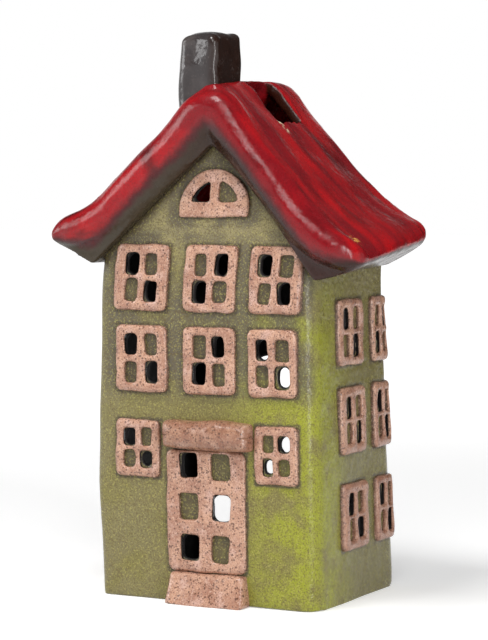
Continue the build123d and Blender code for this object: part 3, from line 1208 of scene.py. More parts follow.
class Effects:
    """Effects that more than one glaze uses, each built once as a node group."""

    @staticmethod
    def group(name: str, output: str, write: Writer, **inputs: float) -> bpy.types.NodeTree:
        """Find a group, or write it the first time.

        Args:
            name: The group's name.
            output: Its output.
            write: Writes its nodes and returns what it gives.
            inputs: Its inputs with their usual values.

        Returns:
            The group.
        """
        known = bpy.data.node_groups.get(name)
        if known:
            return known
        tree = bpy.data.node_groups.new(name, "ShaderNodeTree")
        kind = "NodeSocketFloat"
        for key, value in inputs.items():
            socket = tree.interface.new_socket(name=key.title(), in_out="INPUT", socket_type=kind)
            socket.default_value = value
        tree.interface.new_socket(name=output, in_out="OUTPUT", socket_type=kind)
        graph = Graph(tree)
        given = tree.nodes.new("NodeGroupInput").outputs
        result = write(graph, {key: Wire(graph, given[key.title()]) for key in inputs})
        graph.feed(tree.nodes.new("NodeGroupOutput").inputs[output], result)
        return tree

    @staticmethod
    def drift() -> bpy.types.NodeTree:
        """Cloudy patches: where one glaze drifts into another."""

        def write(graph: Graph, given: dict[str, Wire]) -> Wire:
            """Noise, cut off where it is low and where it is high."""
            grown = {"detail": 3.0, "roughness": 0.55}
            cloud = graph.noise(graph.spot(), w=given["seed"], scale=given["scale"], **grown)
            return graph.ramp(cloud, given["low"], given["high"])

        return Effects.group("drift", "Mask", write, scale=40.0, seed=0.0, low=0.4, high=0.6)

    @staticmethod
    def streaks() -> bpy.types.NodeTree:
        """Runs of glaze down the slopes of the roof."""

        def write(graph: Graph, given: dict[str, Wire]) -> Wire:
            """Noise, drawn out down the slopes."""
            drawn = graph.take(0, "Mapping", {"Vector": graph.spot(), "Scale": (0.28, 1.0, 0.28)})
            run = graph.noise(drawn, w=given["seed"], scale=given["scale"], detail=3.0, distortion=0.5)
            return graph.ramp(run, given["low"], given["high"])

        return Effects.group("streaks", "Mask", write, scale=160.0, seed=0.0, low=0.45, high=0.65)

    @staticmethod
    def speckle() -> bpy.types.NodeTree:
        """Specks of many sizes, one to a cell, none in most cells when the amount is small."""

        def write(graph: Graph, given: dict[str, Wire]) -> Wire:
            """A speck in each cell that happens to get one."""
            sockets = {"Vector": graph.spot(), "W": given["seed"], "Scale": given["scale"], "Randomness": 1.0}
            cell = graph.add("TexVoronoi", sockets, voronoi_dimensions="4D", feature="F1").outputs
            chance = graph.take(0, "SeparateColor", {0: Wire(graph, cell["Color"])})
            inside = chance * chance * given["amount"] - Wire(graph, cell["Distance"])
            return graph.ramp(inside, -0.06, 0.06)

        return Effects.group("speckle", "Mask", write, scale=900.0, seed=0.0, amount=0.3)

    @staticmethod
    def hollow() -> bpy.types.NodeTree:
        """Where melted glaze gathers."""

        def write(graph: Graph, given: dict[str, Wire]) -> Wire:
            """How far the surface bends inwards, up to the reach."""
            bend = graph.take("Pointiness", "NewGeometry", {}) - 0.5
            return graph.ramp(graph.sum("DIVIDE", bend, given["reach"]), -0.15, -1.0)

        return Effects.group("hollow", "Mask", write, reach=0.06)

    @staticmethod
    def lumps() -> bpy.types.NodeTree:
        """The height of finger dents, fine ripples and the orange-peel of a glazed skin, in metres."""

        def write(graph: Graph, given: dict[str, Wire]) -> Wire:
            """Three noises on top of one another."""
            scales = {"coarse": 110.0, "fine": 420.0, "grain": 1500.0}
            waves = [
                graph.noise(graph.spot(), w=given["seed"], scale=scale, detail=2.0) * given[key]
                for key, scale in scales.items()
            ]
            return waves[0] + waves[1] + waves[2]

        return Effects.group("lumps", "Height", write, coarse=0.0004, fine=0.00012, grain=0.0, seed=0.0)


@dataclass(frozen=True)
class Finish:
    """A finish with the numbers that are the same all over it."""

    name: str
    slot: str
    metallic: float = 0.0
    gloss: float = 0.5
    coarse: float = 0.0
    fine: float = 0.0
    grain: float = 0.0

    def material(self) -> bpy.types.Material:
        """Make the material."""
        made = bpy.data.materials.new(self.name)
        graph = Graph.cleared(made)
        shader = graph.add("BsdfPrincipled", {"Metallic": self.metallic, "Specular IOR Level": self.gloss})
        colour, roughness = self.surface(graph)
        graph.feed(shader.inputs["Base Color"], colour)
        graph.feed(shader.inputs["Roughness"], roughness)
        if self.coarse or self.fine:
            relief = {"coarse": self.coarse, "fine": self.fine, "grain": self.grain}
            height = graph.effect(Effects.lumps, seed=float(len(self.name)), **relief)
            bump = graph.take(0, "Bump", {"Strength": 1.0, "Distance": 1.0, "Height": height})
            graph.feed(shader.inputs["Normal"], bump)
        self.extra(shader)
        graph.surface("Material", shader)
        return made

    def surface(self, graph: Graph) -> tuple[object, object]:
        """The colour and the roughness over the surface."""
        raise NotImplementedError

    def extra(self, shader: bpy.types.Node) -> None:
        """Set what only this finish has."""

    def dress(self, piece: Piece) -> None:
        """Give a piece this finish all over."""
        made = bpy.data.materials.get(self.name) or self.material()
        piece.data.materials.clear()
        piece.data.materials.append(made)


@dataclass(frozen=True)
class WallGlaze(Finish):
    """Olive glaze that turns lime towards the front right-hand corner and gathers dark round the tiles, with
    painted shade in the blind pane recesses and the open panes.

    Places are in metres. Distances that the walls have stored are in millimetres.
    """

    mid: Point = (0.19, 0.168, 0.05)
    lime: Point = (0.28, 0.295, 0.024)
    dark: Point = (0.14, 0.122, 0.042)
    grey: Point = (0.2, 0.172, 0.085)
    pale: Point = (0.31, 0.265, 0.13)
    pool_and_shade: Point = (0.065, 0.05, 0.033)
    inside: Point = (0.012, 0.01, 0.01)
    filled: Point = (0.24, 0.17, 0.09)
    fleck: Point = (0.5, 0.46, 0.13)
    grit: Point = (0.11, 0.075, 0.03)
    slate: Point = (0.09, 0.077, 0.065)
    grey_heights: Pair = (0.1, 0.16)
    grey_leftwards: Pair = (0.01, -0.05)
    pale_heights: Pair = (0.142, 0.168)
    sunny_corner: Pair = (0.052, -0.042)
    sunny_reach: Pair = (0.055, 0.006)
    sunny_heights: Pair = (0.165, 0.11)
    shaded_side: Pair = (0.045, 0.05)
    shaded_depth: Pair = (-0.035, 0.01)
    shaded_heights: Pair = (0.15, 0.125)
    smoke_reach: Pair = (9.0, 3.0)
    smoke_foot: Pair = (0.085, 0.1)
    front_face: Pair = (-0.033, -0.037)
    band_middle: float = 0.0165
    band_width: Pair = (0.009, 0.003)
    band_top: Pair = (0.172, 0.155)
    band_foot: Pair = (0.09, 0.105)
    pool_edge: Pair = (0.9, -0.5)
    eaves: Pair = (0.196, 0.204)
    tile_back: Pair = (0.0, -1.5)
    side_face: Pair = (0.0475, 0.049)
    pane_back: Pair = (-1.0, -2.0)
    pane_jamb_shade: Pair = (0.2, 0.6)
    wall_inside: Pair = (0.8, 1.5)

    def olive(self, graph: Graph) -> Wire:
        """The olive ground with its greyer, paler, limier and darker zones."""
        x, y, z = graph.place()
        colour = graph.blend(graph.drift(40.0, low=0.45, high=0.72) * 0.6, self.mid, self.dark)
        greyer = graph.ramp(z, *self.grey_heights) | graph.ramp(x, *self.grey_leftwards) * 0.8
        colour = graph.blend(greyer * graph.drift(60.0, 4.0, 0.25, 0.6), colour, self.grey)
        colour = graph.blend(graph.ramp(z, *self.pale_heights), colour, self.pale)
        off_x, off_y = x - self.sunny_corner[0], y - self.sunny_corner[1]
        away = graph.sum("SQRT", off_x * off_x + off_y * off_y, 0.0)
        sunny = graph.ramp(away, *self.sunny_reach) * graph.ramp(z, *self.sunny_heights)
        colour = graph.blend(sunny * graph.drift(75.0, 2.0, 0.3, 0.55), colour, self.lime)
        shaded = graph.ramp(x, *self.shaded_side) * graph.ramp(y, *self.shaded_depth)
        return graph.blend(shaded * graph.ramp(z, *self.shaded_heights) * 0.7, colour, self.dark)

    def smoke(self, graph: Graph, near: Wire) -> Wire:
        """Where the front is smoky: close to the tiles and in an upright band between two columns."""
        x, y, z = graph.place()
        patches = graph.drift(48.0, 13.0, 0.33, 0.56) * graph.ramp(near, *self.smoke_reach)
        band = graph.ramp(abs(x - self.band_middle), *self.band_width) * graph.ramp(z, *self.band_top)
        smoky = patches * graph.ramp(z, *self.smoke_foot) | band * graph.ramp(z, *self.band_foot)
        return smoky * graph.ramp(y, *self.front_face)

    def gathered(self, graph: Graph, near: Wire) -> Wire:
        """Where the glaze has run together round the tiles and in hollows, and a darker band on the walls
        just under the eaves.
        """
        x, _, z = graph.place()
        wobble = graph.drift(260.0, 7.0, 0.2, 0.8) * 1.2
        edge = graph.ramp((near | graph.ramp(near, *self.tile_back)) - wobble, *self.pool_edge)
        eaves = graph.ramp(z + abs(x), *self.eaves)
        return edge | (eaves | graph.effect(Effects.hollow, reach=0.05))

    def surface(self, graph: Graph) -> tuple[Wire, Wire]:
        """The colour and the roughness over the surface."""
        near = graph.stored("tile_near")
        inward = graph.stored("inward")
        colour = graph.blend(self.smoke(graph, near) * 0.8, self.olive(graph), self.slate)
        # Behind the tiles, where the blind pane recesses show the wall, it is darkened: glaze pooled there,
        # with painted shade on top.
        under_tile = graph.ramp(near, *self.tile_back)
        behind = under_tile * graph.drift(420.0, 14.0, 0.2, 0.6) * 0.4 + under_tile * 0.35
        beside = graph.ramp(graph.place()[0], *self.side_face) * under_tile
        colour = graph.blend(behind * graph.ramp(beside, 1.4, 0.4), colour, self.pool_and_shade)
        colour = graph.blend(beside * 0.5, colour, self.filled)
        colour = graph.blend(self.gathered(graph, near) * 0.92, colour, self.pool_and_shade)
        colour = graph.blend(graph.drift(1300.0, 5.0, 0.5, 0.66) * 0.45, colour, self.fleck)
        colour = graph.blend(graph.drift(1500.0, 1.0, 0.48, 0.62) * 0.7, colour, self.grit)
        # The room inside is glazed near-black; the jambs of the open panes are painted near-black right from
        # the face as painted shade.
        pierced = graph.ramp(inward, *self.pane_jamb_shade) * graph.ramp(near, *self.pane_back)
        deep = graph.ramp(inward, *self.wall_inside) | pierced
        return graph.blend(deep, colour, self.inside), graph.rough(0.2, 220.0) + deep * 0.4


@dataclass(frozen=True)
class FrameGlaze(Finish):
    """Speckled pinkish-brown glaze of the tiles, or the more orange one of the canopy, with painted shade in
    the pane jambs and on the tiles of the right-hand wall.

    Places are in metres. Depths that the tiles have stored are in millimetres.
    """

    light: Point = (0.54, 0.31, 0.21)
    deep: Point = (0.36, 0.18, 0.12)
    lilac: Point = (0.55, 0.34, 0.27)
    pale: Point = (0.72, 0.48, 0.36)
    grit: Point = (0.25, 0.11, 0.07)
    speck: Point = (0.07, 0.03, 0.02)
    pool_and_shade: Point = (0.05, 0.04, 0.028)
    inside: Point = (0.012, 0.01, 0.01)
    side_face: Pair = (0.0525, 0.055)
    pane_jamb_shade: Pair = (0.7, 1.5)
    open_pane_shade: Pair = (0.9, 1.4)

    def surface(self, graph: Graph) -> tuple[Wire, Wire]:
        """The colour and the roughness over the surface."""
        beside = graph.ramp(graph.place()[0], *self.side_face)
        # Painted shade: the pane jambs darken below the tile's face, on top of the glaze pooled in hollows.
        sunk = graph.ramp(graph.stored("sunk"), *self.pane_jamb_shade)
        hollow = graph.effect(Effects.hollow, reach=0.08) | sunk
        colour = graph.blend(graph.drift(120.0, 1.0, 0.35, 0.65), self.light, self.deep)
        colour = graph.blend(graph.drift(160.0, 3.0, 0.5, 0.7), colour, self.lilac)
        colour = graph.blend(hollow * (0.85 - beside * 0.4), colour, self.pool_and_shade)
        colour = graph.blend(graph.drift(1400.0, 12.0, 0.5, 0.64) * 0.5, colour, self.pale)
        colour = graph.blend(graph.drift(1500.0, 2.0, 0.47, 0.62) * 0.6, colour, self.grit)
        specks = graph.effect(Effects.speckle, scale=1200.0, seed=8.0, amount=0.72)
        colour = graph.blend(specks * 0.75, colour, self.speck)
        # Painted shade: the tiles on the right-hand wall are darkened towards the grit colour.
        colour = graph.blend(beside * 0.4, colour, self.grit)
        # Painted shade: the jambs of the open panes turn near-black.
        pierced = graph.ramp(graph.stored("pierced"), *self.open_pane_shade)
        colour = graph.blend(pierced, colour, self.inside)
        return colour, graph.drift(300.0, 6.0) * ROUGH_SPREAD + 0.2


@dataclass(frozen=True)
class RoofGlaze(Finish):
    """Deep red glaze, brightest on the slopes, thin and almost black under the eaves, with painted shade
    there that reaches further on the right-hand side and fills the vent.

    Places are in metres. The rise that the roof has stored goes from 0 below to 1 above.
    """

    mid: Point = (0.2, 0.006, 0.01)
    bright: Point = (0.4, 0.006, 0.009)
    dark: Point = (0.06, 0.004, 0.005)
    amber: Point = (0.8, 0.42, 0.1)
    chip_and_highlight: Point = (0.75, 0.66, 0.45)
    under: Point = (0.045, 0.033, 0.019)
    painted_shade: Point = (0.026, 0.006, 0.003)
    glint: Point = (0.0685, -0.037, 0.161)
    glint_radius: float = 0.0045
    back_shade: Pair = (-0.01, 0.03)
    left_shade: Pair = (-0.005, -0.03)
    rim_shade_right: Pair = (-0.02, 0.015)
    rim_foot: Pair = (0.5, 0.3)
    underside: Pair = (0.34, 0.2)
    under_shade_right: Pair = (-0.03, 0.02)
    vent_middle: float = 0.0037
    vent_across: Pair = (0.0155, 0.0135)
    vent_along: tuple[Pair, Pair] = ((-0.002, 0.0), (0.03, 0.028))
    vent_depth: Pair = (0.985, 0.93)
    lip_middle: float = -0.0087
    lip_across: Pair = (0.0016, 0.0008)
    lip_along: tuple[Pair, Pair] = ((0.002, 0.004), (0.024, 0.022))

    def glinting(self, graph: Graph) -> Wire:
        """The broken amber patch at the right front eave."""
        away = graph.take("Value", "VectorMath", {0: graph.spot(), 1: self.glint}, operation="DISTANCE")
        patch = graph.ramp(away, self.glint_radius, self.glint_radius / 2)
        return patch * graph.drift(650.0, 17.0, 0.48, 0.6)

    def slopes(self, graph: Graph) -> Wire:
        """The red with its runs, darker towards the back and the left."""
        x, y, _ = graph.place()
        bright = graph.effect(Effects.streaks, scale=75.0, seed=1.0, low=0.4, high=0.66)
        runs = graph.effect(Effects.streaks, scale=150.0, seed=5.0, low=0.5, high=0.72)
        shaded = (graph.ramp(y, *self.back_shade) * 0.3 | graph.ramp(x, *self.left_shade) * 0.5) + 0.5
        colour = graph.blend(bright, self.mid, self.bright)
        colour = graph.blend(runs * shaded, colour, self.dark)
        colour = graph.blend(graph.drift(1300.0, 3.0, 0.5, 0.66) * 0.4, colour, self.dark)
        return graph.blend(graph.effect(Effects.hollow, reach=0.05) * 0.7, colour, self.dark)

    def surface(self, graph: Graph) -> tuple[Wire, Wire]:
        """The colour and the roughness over the surface."""
        x, y, _ = graph.place()
        rise = graph.stored("rise")
        # Towards the underside the rims darken: thin glaze, with painted shade that reaches further up on the
        # right-hand side.
        low = rise + graph.drift(180.0, 2.0, 0.2, 0.8) * 0.1 - graph.ramp(x, *self.rim_shade_right) * 0.12
        colour = graph.blend(graph.ramp(low, *self.rim_foot), self.slopes(graph), self.dark)
        # Painted shade: the underside turns near-black towards the right-hand side.
        bottom = graph.blend(graph.ramp(x, *self.under_shade_right), self.under, self.painted_shade)
        colour = graph.blend(graph.ramp(low, *self.underside), colour, bottom)
        # Painted shade: the walls of the vent slot are painted near-black.
        vent = graph.ramp(abs(y - self.vent_middle), *self.vent_across) * graph.within(x, *self.vent_along)
        colour = graph.blend(vent * graph.ramp(rise, *self.vent_depth), colour, self.painted_shade)
        # Pale flecks on the vent's near lip: chipped clay and a painted broken highlight.
        lip = graph.ramp(abs(y - self.lip_middle), *self.lip_across) * graph.within(x, *self.lip_along)
        colour = graph.blend(lip * graph.drift(500.0, 16.0, 0.44, 0.54), colour, self.chip_and_highlight)
        colour = graph.blend(self.glinting(graph), colour, self.amber)
        return colour, graph.drift(200.0, 9.0) * 0.1 + 0.2


@dataclass(frozen=True)
class ChimneyGlaze(Finish):
    """Dark metallic-looking grey glaze, browner and darker on the right-hand side, where its brown is
    deepened with painted shade.
    """

    grey: Point = (0.038, 0.032, 0.032)
    pale: Point = (0.09, 0.075, 0.07)
    brown: Point = (0.022, 0.01, 0.007)
    brown_shade_side: Pair = (-0.007, -0.002)

    def surface(self, graph: Graph) -> tuple[Wire, Wire]:
        """The colour and the roughness over the surface."""
        colour = graph.blend(graph.drift(110.0, 3.0, 0.45, 0.75) * 0.6, self.grey, self.pale)
        # Painted shade: the right-hand side takes a darker brown, partly the glaze's own brown.
        colour = graph.blend(graph.ramp(graph.place()[0], *self.brown_shade_side), colour, self.brown)
        specks = graph.effect(Effects.speckle, scale=1200.0, seed=4.0, amount=0.45)
        return graph.blend(specks * 0.5, colour, self.pale), graph.rough(0.14, 240.0)


@dataclass(frozen=True)
class PressedMetal(Finish):
    """Thin pressed sheet, a little scuffed."""

    tint: Point = (0.8, 0.8, 0.81)
    scuffed: Point = (0.62, 0.62, 0.64)

    def surface(self, graph: Graph) -> tuple[Wire, Wire]:
        """The colour and the roughness over the surface."""
        scuffs = graph.drift(400.0, 3.0, 0.4, 0.7)
        return graph.blend(scuffs, self.tint, self.scuffed), scuffs * 0.2 + 0.22


@dataclass(frozen=True)
class SoftSolid(Finish):
    """Wax or cotton: pale, soft and slightly uneven."""

    pale: Point = (0.88, 0.86, 0.8)
    shade: Point = (0.78, 0.74, 0.66)
    rough: float = 0.4
    glow: float = 0.0
    glow_depth: float = 0.003

    def surface(self, graph: Graph) -> tuple[Wire, float]:
        """The colour and the roughness over the surface."""
        return graph.blend(graph.drift(180.0, 2.0, 0.3, 0.7), self.pale, self.shade), self.rough

    def extra(self, shader: bpy.types.Node) -> None:
        """Let a little light into the wax."""
        if self.glow:
            shader.inputs["Subsurface Weight"].default_value = self.glow
            shader.inputs["Subsurface Scale"].default_value = self.glow_depth


CLAY_TILE = {"coarse": 0.0007, "fine": 0.00024, "grain": 0.00009}
CANOPY_TINTS = {
    "light": (0.38, 0.2, 0.125), "deep": (0.24, 0.105, 0.065),
    "lilac": (0.44, 0.26, 0.19), "pale": (0.55, 0.34, 0.23),
}
COTTON_TINTS = {"pale": (0.82, 0.79, 0.7), "shade": (0.6, 0.56, 0.48)}
STEEL_TINTS = {"tint": (0.55, 0.55, 0.56), "scuffed": (0.4, 0.4, 0.42)}
WALLS = WallGlaze("olive_glaze", "wall_glaze", gloss=0.3, coarse=0.0006, fine=0.0002, grain=0.00008)
FRAMES = FrameGlaze("speckled_glaze", "frame_glaze", **CLAY_TILE)
CANOPY = FrameGlaze("orange_glaze", "canopy_glaze", **CANOPY_TINTS, **CLAY_TILE)
ROOF = RoofGlaze("red_glaze", "roof_glaze", gloss=0.32, coarse=0.0007, fine=0.00014, grain=0.00005)
CHIMNEY = ChimneyGlaze("graphite_glaze", "chimney_glaze", gloss=0.45, coarse=0.0008, fine=0.0002)
CUP = PressedMetal("pressed_metal", "cup_metal", metallic=1.0)
WAX = SoftSolid("poured_wax", "wax", glow=0.3, coarse=0.0001)
COTTON = SoftSolid("plaited_cotton", "wick_cotton", rough=0.85, fine=0.0002, **COTTON_TINTS)
STEEL = PressedMetal("stamped_steel", "holder_steel", metallic=1.0, **STEEL_TINTS)


@dataclass
class Settling:
    """How the wet house settled: where its walls and roof lean, bulge and sag, in millimetres."""

    bulge: float = 2.3
    bulge_height: float = 50.0
    bulge_spread: float = 35.0
    left_swing: float = 2.4
    left_across: Pair = (34, 54)
    left_up: Pair = (20, 80)
    right_swing: float = 1.4
    right_across: Pair = (40, 54)
    right_along: Pair = (10, 40)
    half_width: float = 54.0
    foot: Pair = (0, 12)
    tip_swing: Pair = (1.8, 2.2)
    tip_across: tuple[Pair, Pair] = ((0, 20), (50, 70))
    ridge_across: Pair = (30, 0)
    apex_swing: float = 3.0
    apex_along: Pair = (20, 45)
    rear_along: Pair = (5, 35)
    rear_across: Pair = (-20, 0)
    eave_start: float = 55.0
    wall_top: float = 165.0
    wall_across: Pair = (66, 54)
    wall_box: tuple[Point, Point] = ((-60, -62, 0), (60, 62, 210))
    wall_grid: tuple[int, int, int] = (7, 4, 16)
    roof_box: tuple[Point, Point] = ((-78, -56, 140), (78, 48, 256))
    roof_grid: tuple[int, int, int] = (13, 9, 9)
    heights: Row = (0, 50, 100, 135, 155, 175, 203, 231)
    leans: Row = (0, -1, -2.3, -3.4, -2, 0, 2.0, 2.0)
    across: Row = (-78, -60, -30, 0, 12, 30, 47, 56, 66, 72, 78)
    front_sag: Row = (-1.0, 0.5, 0.5, -1.5, 2.5, 0.0, -3.5, -6.0, -9.0, -11.0, -11.0)
    middle_sag: Row = (0, 0, 1.0, 3.0, 1.5, 0, -1.5, -2.5, -4.0, -5.0, -5.0)
    back_sag: Row = (0, 0, 0, 2.5, 1.5, -0.5, -1.0, -1.2, -0.2, 0.4, 0.6)
    sections: Row = (-48, -5, 40)
    along_ridge: Row = (-50, -41, -10, 17, 30, 46)
    ridge_sag: Row = (0, 0, 0, 1.6, 0.8, -3.0)

    def lean(self, z: float) -> float:
        """How far the walls lean to the right at a height."""
        return float(np.interp(z, self.heights, self.leans))

    def sag(self, x: float, y: float) -> float:
        """How far a spot of the roof has sunk or risen, read between three sections from front to back."""
        sags = [np.interp(x, self.across, sag) for sag in (self.front_sag, self.middle_sag, self.back_sag)]
        return float(np.interp(y, self.sections, sags))

    def walls(self) -> Slump:
        """The settling of the walls and the tiles."""

        def shift(x: float, y: float, z: float) -> Point:
            """How far a spot of the walls has moved."""
            bulge = self.bulge * math.exp(-(((z - self.bulge_height) / self.bulge_spread) ** 2))
            bulge *= max(-x / self.half_width, 0) * portion(z, *self.foot)
            left = self.left_swing * portion(-x, *self.left_across) * portion(z, *self.left_up)
            right = self.right_swing * portion(x, *self.right_across) * portion(y, *self.right_along)
            return (self.lean(z) - bulge - left + right, 0, 0)

        return Slump("wall_slump", *self.wall_box, self.wall_grid, shift)

    def roof(self) -> Slump:
        """The settling of the roof and the chimney."""

        def shift(x: float, y: float, z: float) -> Point:
            """How far a spot of the roof has moved."""
            tip = sum(swing * portion(-x, *zone) for swing, zone in zip(self.tip_swing, self.tip_across))
            near_ridge = portion(abs(x), *self.ridge_across)
            apex = self.apex_swing * near_ridge * portion(-y, *self.apex_along)
            rear = portion(y, *self.rear_along) * portion(x, *self.rear_across)
            rear *= 2 if x > self.eave_start else 1
            low = self.lean(z) * portion(abs(x), *self.wall_across) if z < self.wall_top else 0.0
            ridge = float(np.interp(y, self.along_ridge, self.ridge_sag))
            return (apex + low - tip - rear, 0, self.sag(x, y) + ridge * near_ridge)

        return Slump("roof_slump", *self.roof_box, self.roof_grid, shift)


@dataclass
class House:
    """The whole tealight house: it makes the forms, settles them like soft clay and glazes them."""

    shell: Shell = field(default_factory=Shell)
    settling: Settling = field(default_factory=Settling)
    seed: int = 11
    large_panes: Panes = ((6.2, 9.5), (3.7, 2.35))
    small_panes: Panes = ((5.2, 7.2), (2.7, 2.5))
    far_panes: Panes = ((5.35, 9.5), (2.9, 2.35))
    door_panes: Panes = ((8.7, 11.3), (6.6, 6.9))
    door_shift: Pair = (-0.6, 2.0)
    side_nudge: float = -3.2
    by_hand: dict[str, Pair] = field(default_factory=lambda: {
        "front_window_middle_left": (0.6, -1.2),
        "front_window_middle_right": (-1.5, -2.6),
        "front_window_top_right": (-0.7, -1.0),
        "front_window_low_right": (-1.8, 0.0),
        "door_frame": (-1.6, 1.4),
    })
    made: list[tuple[Piece, Finish, Body, tuple[str, ...]]] = field(default_factory=list)

    def tile(self, node: str, side: Side, panes: Panes, open_first: bool, **settings: object) -> Tile:
        """A tile where its solid lies, moved and widened as listed if it has to be.

        Args:
            node: The solid.
            side: The wall.
            panes: The size of a pane and of the bars between panes.
            open_first: Whether the first pane goes through.
            settings: What else is the tile's own.

        Returns:
            The tile.
        """
        nudge, widening = self.by_hand.get(node, (0.0, 0.0))
        return Tile(node, side, *panes, open_first, **{"nudge": nudge, "widening": widening, **settings})

    def tiles(self) -> list[Tile]:
        """The windows of the front and both sides (the left mirrors the right), the door and the fanlight."""
        tiles = []
        for row in ("top", "middle"):
            for column in ("left", "middle", "right"):
                node = f"front_window_{row}_{column}"
                tiles.append(self.tile(node, Side.FRONT, self.large_panes, column != "middle"))
        for column in ("left", "right"):
            node = f"front_window_low_{column}"
            tiles.append(self.tile(node, Side.FRONT, self.small_panes, column == "left", corner=2.4))
        columns = {"front": (self.large_panes, self.side_nudge), "back": (self.far_panes, 0.0)}
        for side in (Side.RIGHT, Side.LEFT):
            for row in ("top", "middle", "low"):
                for column, (panes, nudge) in columns.items():
                    node = f"{side.name.lower()}_window_{row}_{column}"
                    opens = node.endswith("top_back") == (side is Side.LEFT)
                    tiles.append(self.tile(node, side, panes, opens, nudge=nudge))
        door = {"rows": 3, "shift": self.door_shift, "corner": 3.4}
        tiles.append(self.tile("door_frame", Side.FRONT, self.door_panes, True, **door))
        tiles.append(Fanlight("gable_fanlight", Side.FRONT, (0, 0), (0, 0), True))
        return tiles

    def add(self, piece: Piece, finish: Finish, body: Body, *nodes: str) -> None:
        """Keep a finished form with its glaze, its body and the solids that it stands for."""
        self.made.append((piece, finish, body, nodes))
        LOG.info("%s: %d faces", piece.name, len(piece.data.polygons))

    def build_tiles(self, tiles: list[Tile], hand: random.Random) -> None:
        """Make the tiles, each from the blank of its size."""
        blanks: dict[Pair, Piece] = {}
        for tile in tiles:
            key = (round(tile.size[0], 1), round(tile.size[1], 1))
            if key not in blanks:
                blanks[key] = tile.blank()
            self.add(tile.build(self.shell, blanks[key], hand), FRAMES, Body.HOUSE, tile.node)
        for blank in blanks.values():
            Bench.discard(blank)

    def build(self) -> None:
        """Make every form."""
        hand = random.Random(self.seed)
        tiles = self.tiles()
        walls = HouseWalls(self.shell).build(tiles, random.Random(self.seed))
        self.add(walls, WALLS, Body.HOUSE, "front_wall", "right_wall", "back_wall", "left_wall")
        self.build_tiles(tiles, hand)
        self.add(Doorstep().build(), FRAMES, Body.HOUSE, "door_step")
        self.add(Canopy(self.shell).build(), CANOPY, Body.HOUSE, "door_canopy")
        roof = Roof(self.shell).build(hand)
        chimney = Chimney().build()
        self.settling.walls().apply([piece for piece, *_ in self.made])
        self.settling.roof().apply([roof, chimney])
        self.add(roof, ROOF, Body.HOUSE, "roof")
        self.add(chimney, CHIMNEY, Body.HOUSE, "chimney")
        tealight = Tealight()
        self.add(tealight.cup(), CUP, Body.CUP, "tealight_cup")
        self.add(tealight.wax(), WAX, Body.CANDLE, "tealight_wax")
        self.add(tealight.wick(), COTTON, Body.CANDLE, "wick")
        self.add(tealight.foot(), STEEL, Body.CANDLE, "wick_holder")

    def glaze(self) -> None:
        """Glaze every form, tie it to its body and let it stand for its solids."""
        for piece, finish, body, nodes in self.made:
            finish.dress(piece)
            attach(piece, body.value)
            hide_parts(*nodes)
        WALLS.dress(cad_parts["base_slab"])


@dataclass(frozen=True)
class Lamp:
    """A softbox. Its place and size are in metres, its power in watts."""

    name: str
    place: Point
    size: Pair
    power: float
    aim: Point = (0.0, -0.01, 0.12)

    def hang(self) -> None:
        """Hang the softbox, facing its aim."""
        data = bpy.data.lights.new(self.name, "AREA")
        data.shape = "RECTANGLE"
        data.size, data.size_y = self.size
        data.energy = self.power
        lamp = bpy.data.objects.new(self.name, data)
        bpy.context.scene.collection.objects.link(lamp)
        lamp.location = self.place
        lamp.rotation_euler = (Vector(self.place) - Vector(self.aim)).to_track_quat("Z", "Y").to_euler()


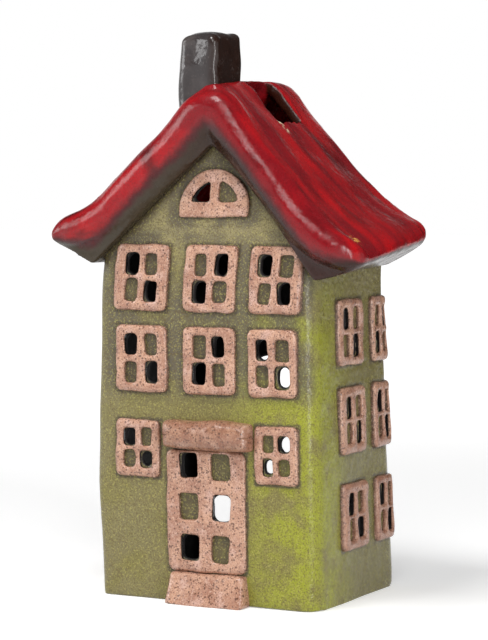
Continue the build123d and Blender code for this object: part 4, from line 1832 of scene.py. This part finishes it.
@dataclass
class Studio:
    """The pale floor, the soft lamps and the camera."""

    camera_place: Point = (485.7, -958.4, 189.0)
    azimuth: float = 27.05
    pitch: float = 3.49
    roll: float = 0.07
    lens: float = 132.75
    near_clip: float = 0.05
    lamps: tuple[Lamp, ...] = (
        Lamp("window_left", (-1.0, -0.62, 0.6), (0.6, 0.6), 6.4),
        Lamp("window_front", (0.42, -0.9, 1.0), (0.42, 0.42), 4.8),
        Lamp("strip_right", (0.98, -0.62, 0.4), (0.12, 0.75), 6.4),
        Lamp("top", (-0.1, -0.42, 1.15), (0.35, 0.3), 6.4),
    )
    fill: float = 0.22
    ceiling: float = 0.06
    horizon: Pair = (0.4, 0.12)
    floor_size: float = 12.0
    floor_grey: float = 0.86
    floor_glow: Pair = (0.3, 0.6)
    glow_reach: Pair = (0.25, 1.2)
    card_size: Pair = (1.7, 0.75)
    card_place: Point = (0.56, 1.12, 0.38)
    card_grey: float = 0.02

    def camera(self) -> None:
        """Stand the camera where the photograph was taken from."""
        data = bpy.data.cameras.new("camera")
        data.lens = self.lens
        data.clip_start = self.near_clip
        eye = bpy.data.objects.new("camera", data)
        bpy.context.scene.collection.objects.link(eye)
        a, p = math.radians(self.azimuth), math.radians(self.pitch)
        right = Vector((math.cos(a), math.sin(a), 0))
        back = Vector((math.sin(a) * math.cos(p), -math.cos(a) * math.cos(p), math.sin(p)))
        turn = Matrix((right, back.cross(right), back)).transposed()
        turn @= Matrix.Rotation(math.radians(self.roll), 3, "Z")
        eye.matrix_world = Matrix.Translation(Vector(self.camera_place) * MM) @ turn.to_4x4()
        bpy.context.scene.camera = eye

    @staticmethod
    def rays(graph: Graph) -> list[Wire]:
        """Whether a ray comes from the camera, and whether it comes from gloss or glass."""
        found = graph.add("LightPath", {}).outputs
        kinds = ("Camera", "Glossy", "Transmission")
        camera, gloss, glass = [Wire(graph, found[f"Is {kind} Ray"]) for kind in kinds]
        return [camera, gloss | glass]

    def world(self) -> None:
        """White for the eye, a white horizon for gloss and glass, and a soft fill for the rest."""
        world = bpy.data.worlds.new("studio")
        graph = Graph.cleared(world)
        camera, mirrored = self.rays(graph)
        reach = graph.place(graph.spot("Generated"))[2]
        backdrop = graph.ramp(reach, *self.horizon) * (1 - self.ceiling) + self.ceiling
        unseen = graph.take(0, "Mix", {0: mirrored, 2: self.fill, 3: backdrop})
        light = graph.add("Background", {"Color": (1, 1, 1), "Strength": camera | unseen})
        graph.surface("World", light)
        bpy.context.scene.world = world

    @staticmethod
    def sheet(name: str, size: float, grey: float, roughness: float) -> tuple[Piece, Graph, bpy.types.Node]:
        """Add a square sheet of one grey.

        Args:
            name: The sheet's name.
            size: Its side in metres.
            grey: How light it is.
            roughness: Its roughness.

        Returns:
            The sheet, the graph of its material and the shader in it.
        """
        Bench.clear()
        bpy.ops.mesh.primitive_plane_add(size=size)
        sheet = bpy.context.object
        sheet.name = name
        made = bpy.data.materials.new(f"{name}_grey")
        sheet.data.materials.append(made)
        graph = Graph.cleared(made)
        return sheet, graph, graph.add("BsdfPrincipled", {"Base Color": (grey,) * 3, "Roughness": roughness})

    def floor(self) -> None:
        """Lay the pale floor, which glows a little for the eye, gloss and glass."""
        floor, graph, shader = self.sheet("studio_floor", self.floor_size, self.floor_grey, 0.7)
        camera, mirrored = self.rays(graph)
        away = graph.take("Value", "VectorMath", {0: graph.spot()}, operation="LENGTH")
        least, more = self.floor_glow
        lift = graph.ramp(away, *self.glow_reach) * more + least
        glow = graph.add("Emission", {"Color": (1, 1, 1), "Strength": (camera | mirrored) * lift})
        both = {0: Wire(graph, shader.outputs[0]), 1: Wire(graph, glow.outputs[0])}
        graph.surface("Material", graph.add("AddShader", both))

    def flag(self) -> None:
        """Stand a dark card behind on the right, which only the gloss sees."""
        card, graph, shader = self.sheet("dark_card", 1.0, self.card_grey, 1.0)
        graph.surface("Material", shader)
        card.scale = (*self.card_size, 1.0)
        card.location = self.card_place
        middle = Vector((0, 0, card.location.z))
        card.rotation_euler = (middle - card.location).to_track_quat("Z", "Y").to_euler()
        card.visible_camera = card.visible_diffuse = card.visible_shadow = card.visible_transmission = False

    def build(self) -> None:
        """Set up the studio."""
        self.camera()
        for lamp in self.lamps:
            lamp.hang()
        self.flag()
        self.world()
        self.floor()
        bpy.context.scene.view_settings.view_transform = "Standard"


def main() -> None:
    """Set up the studio, make the house and glaze it."""
    logging.basicConfig(level=logging.INFO, format="%(name)s %(relativeCreated)d ms: %(message)s")
    Studio().build()
    house = House()
    house.build()
    house.glaze()


if __name__ == "__main__":
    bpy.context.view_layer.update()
    main()
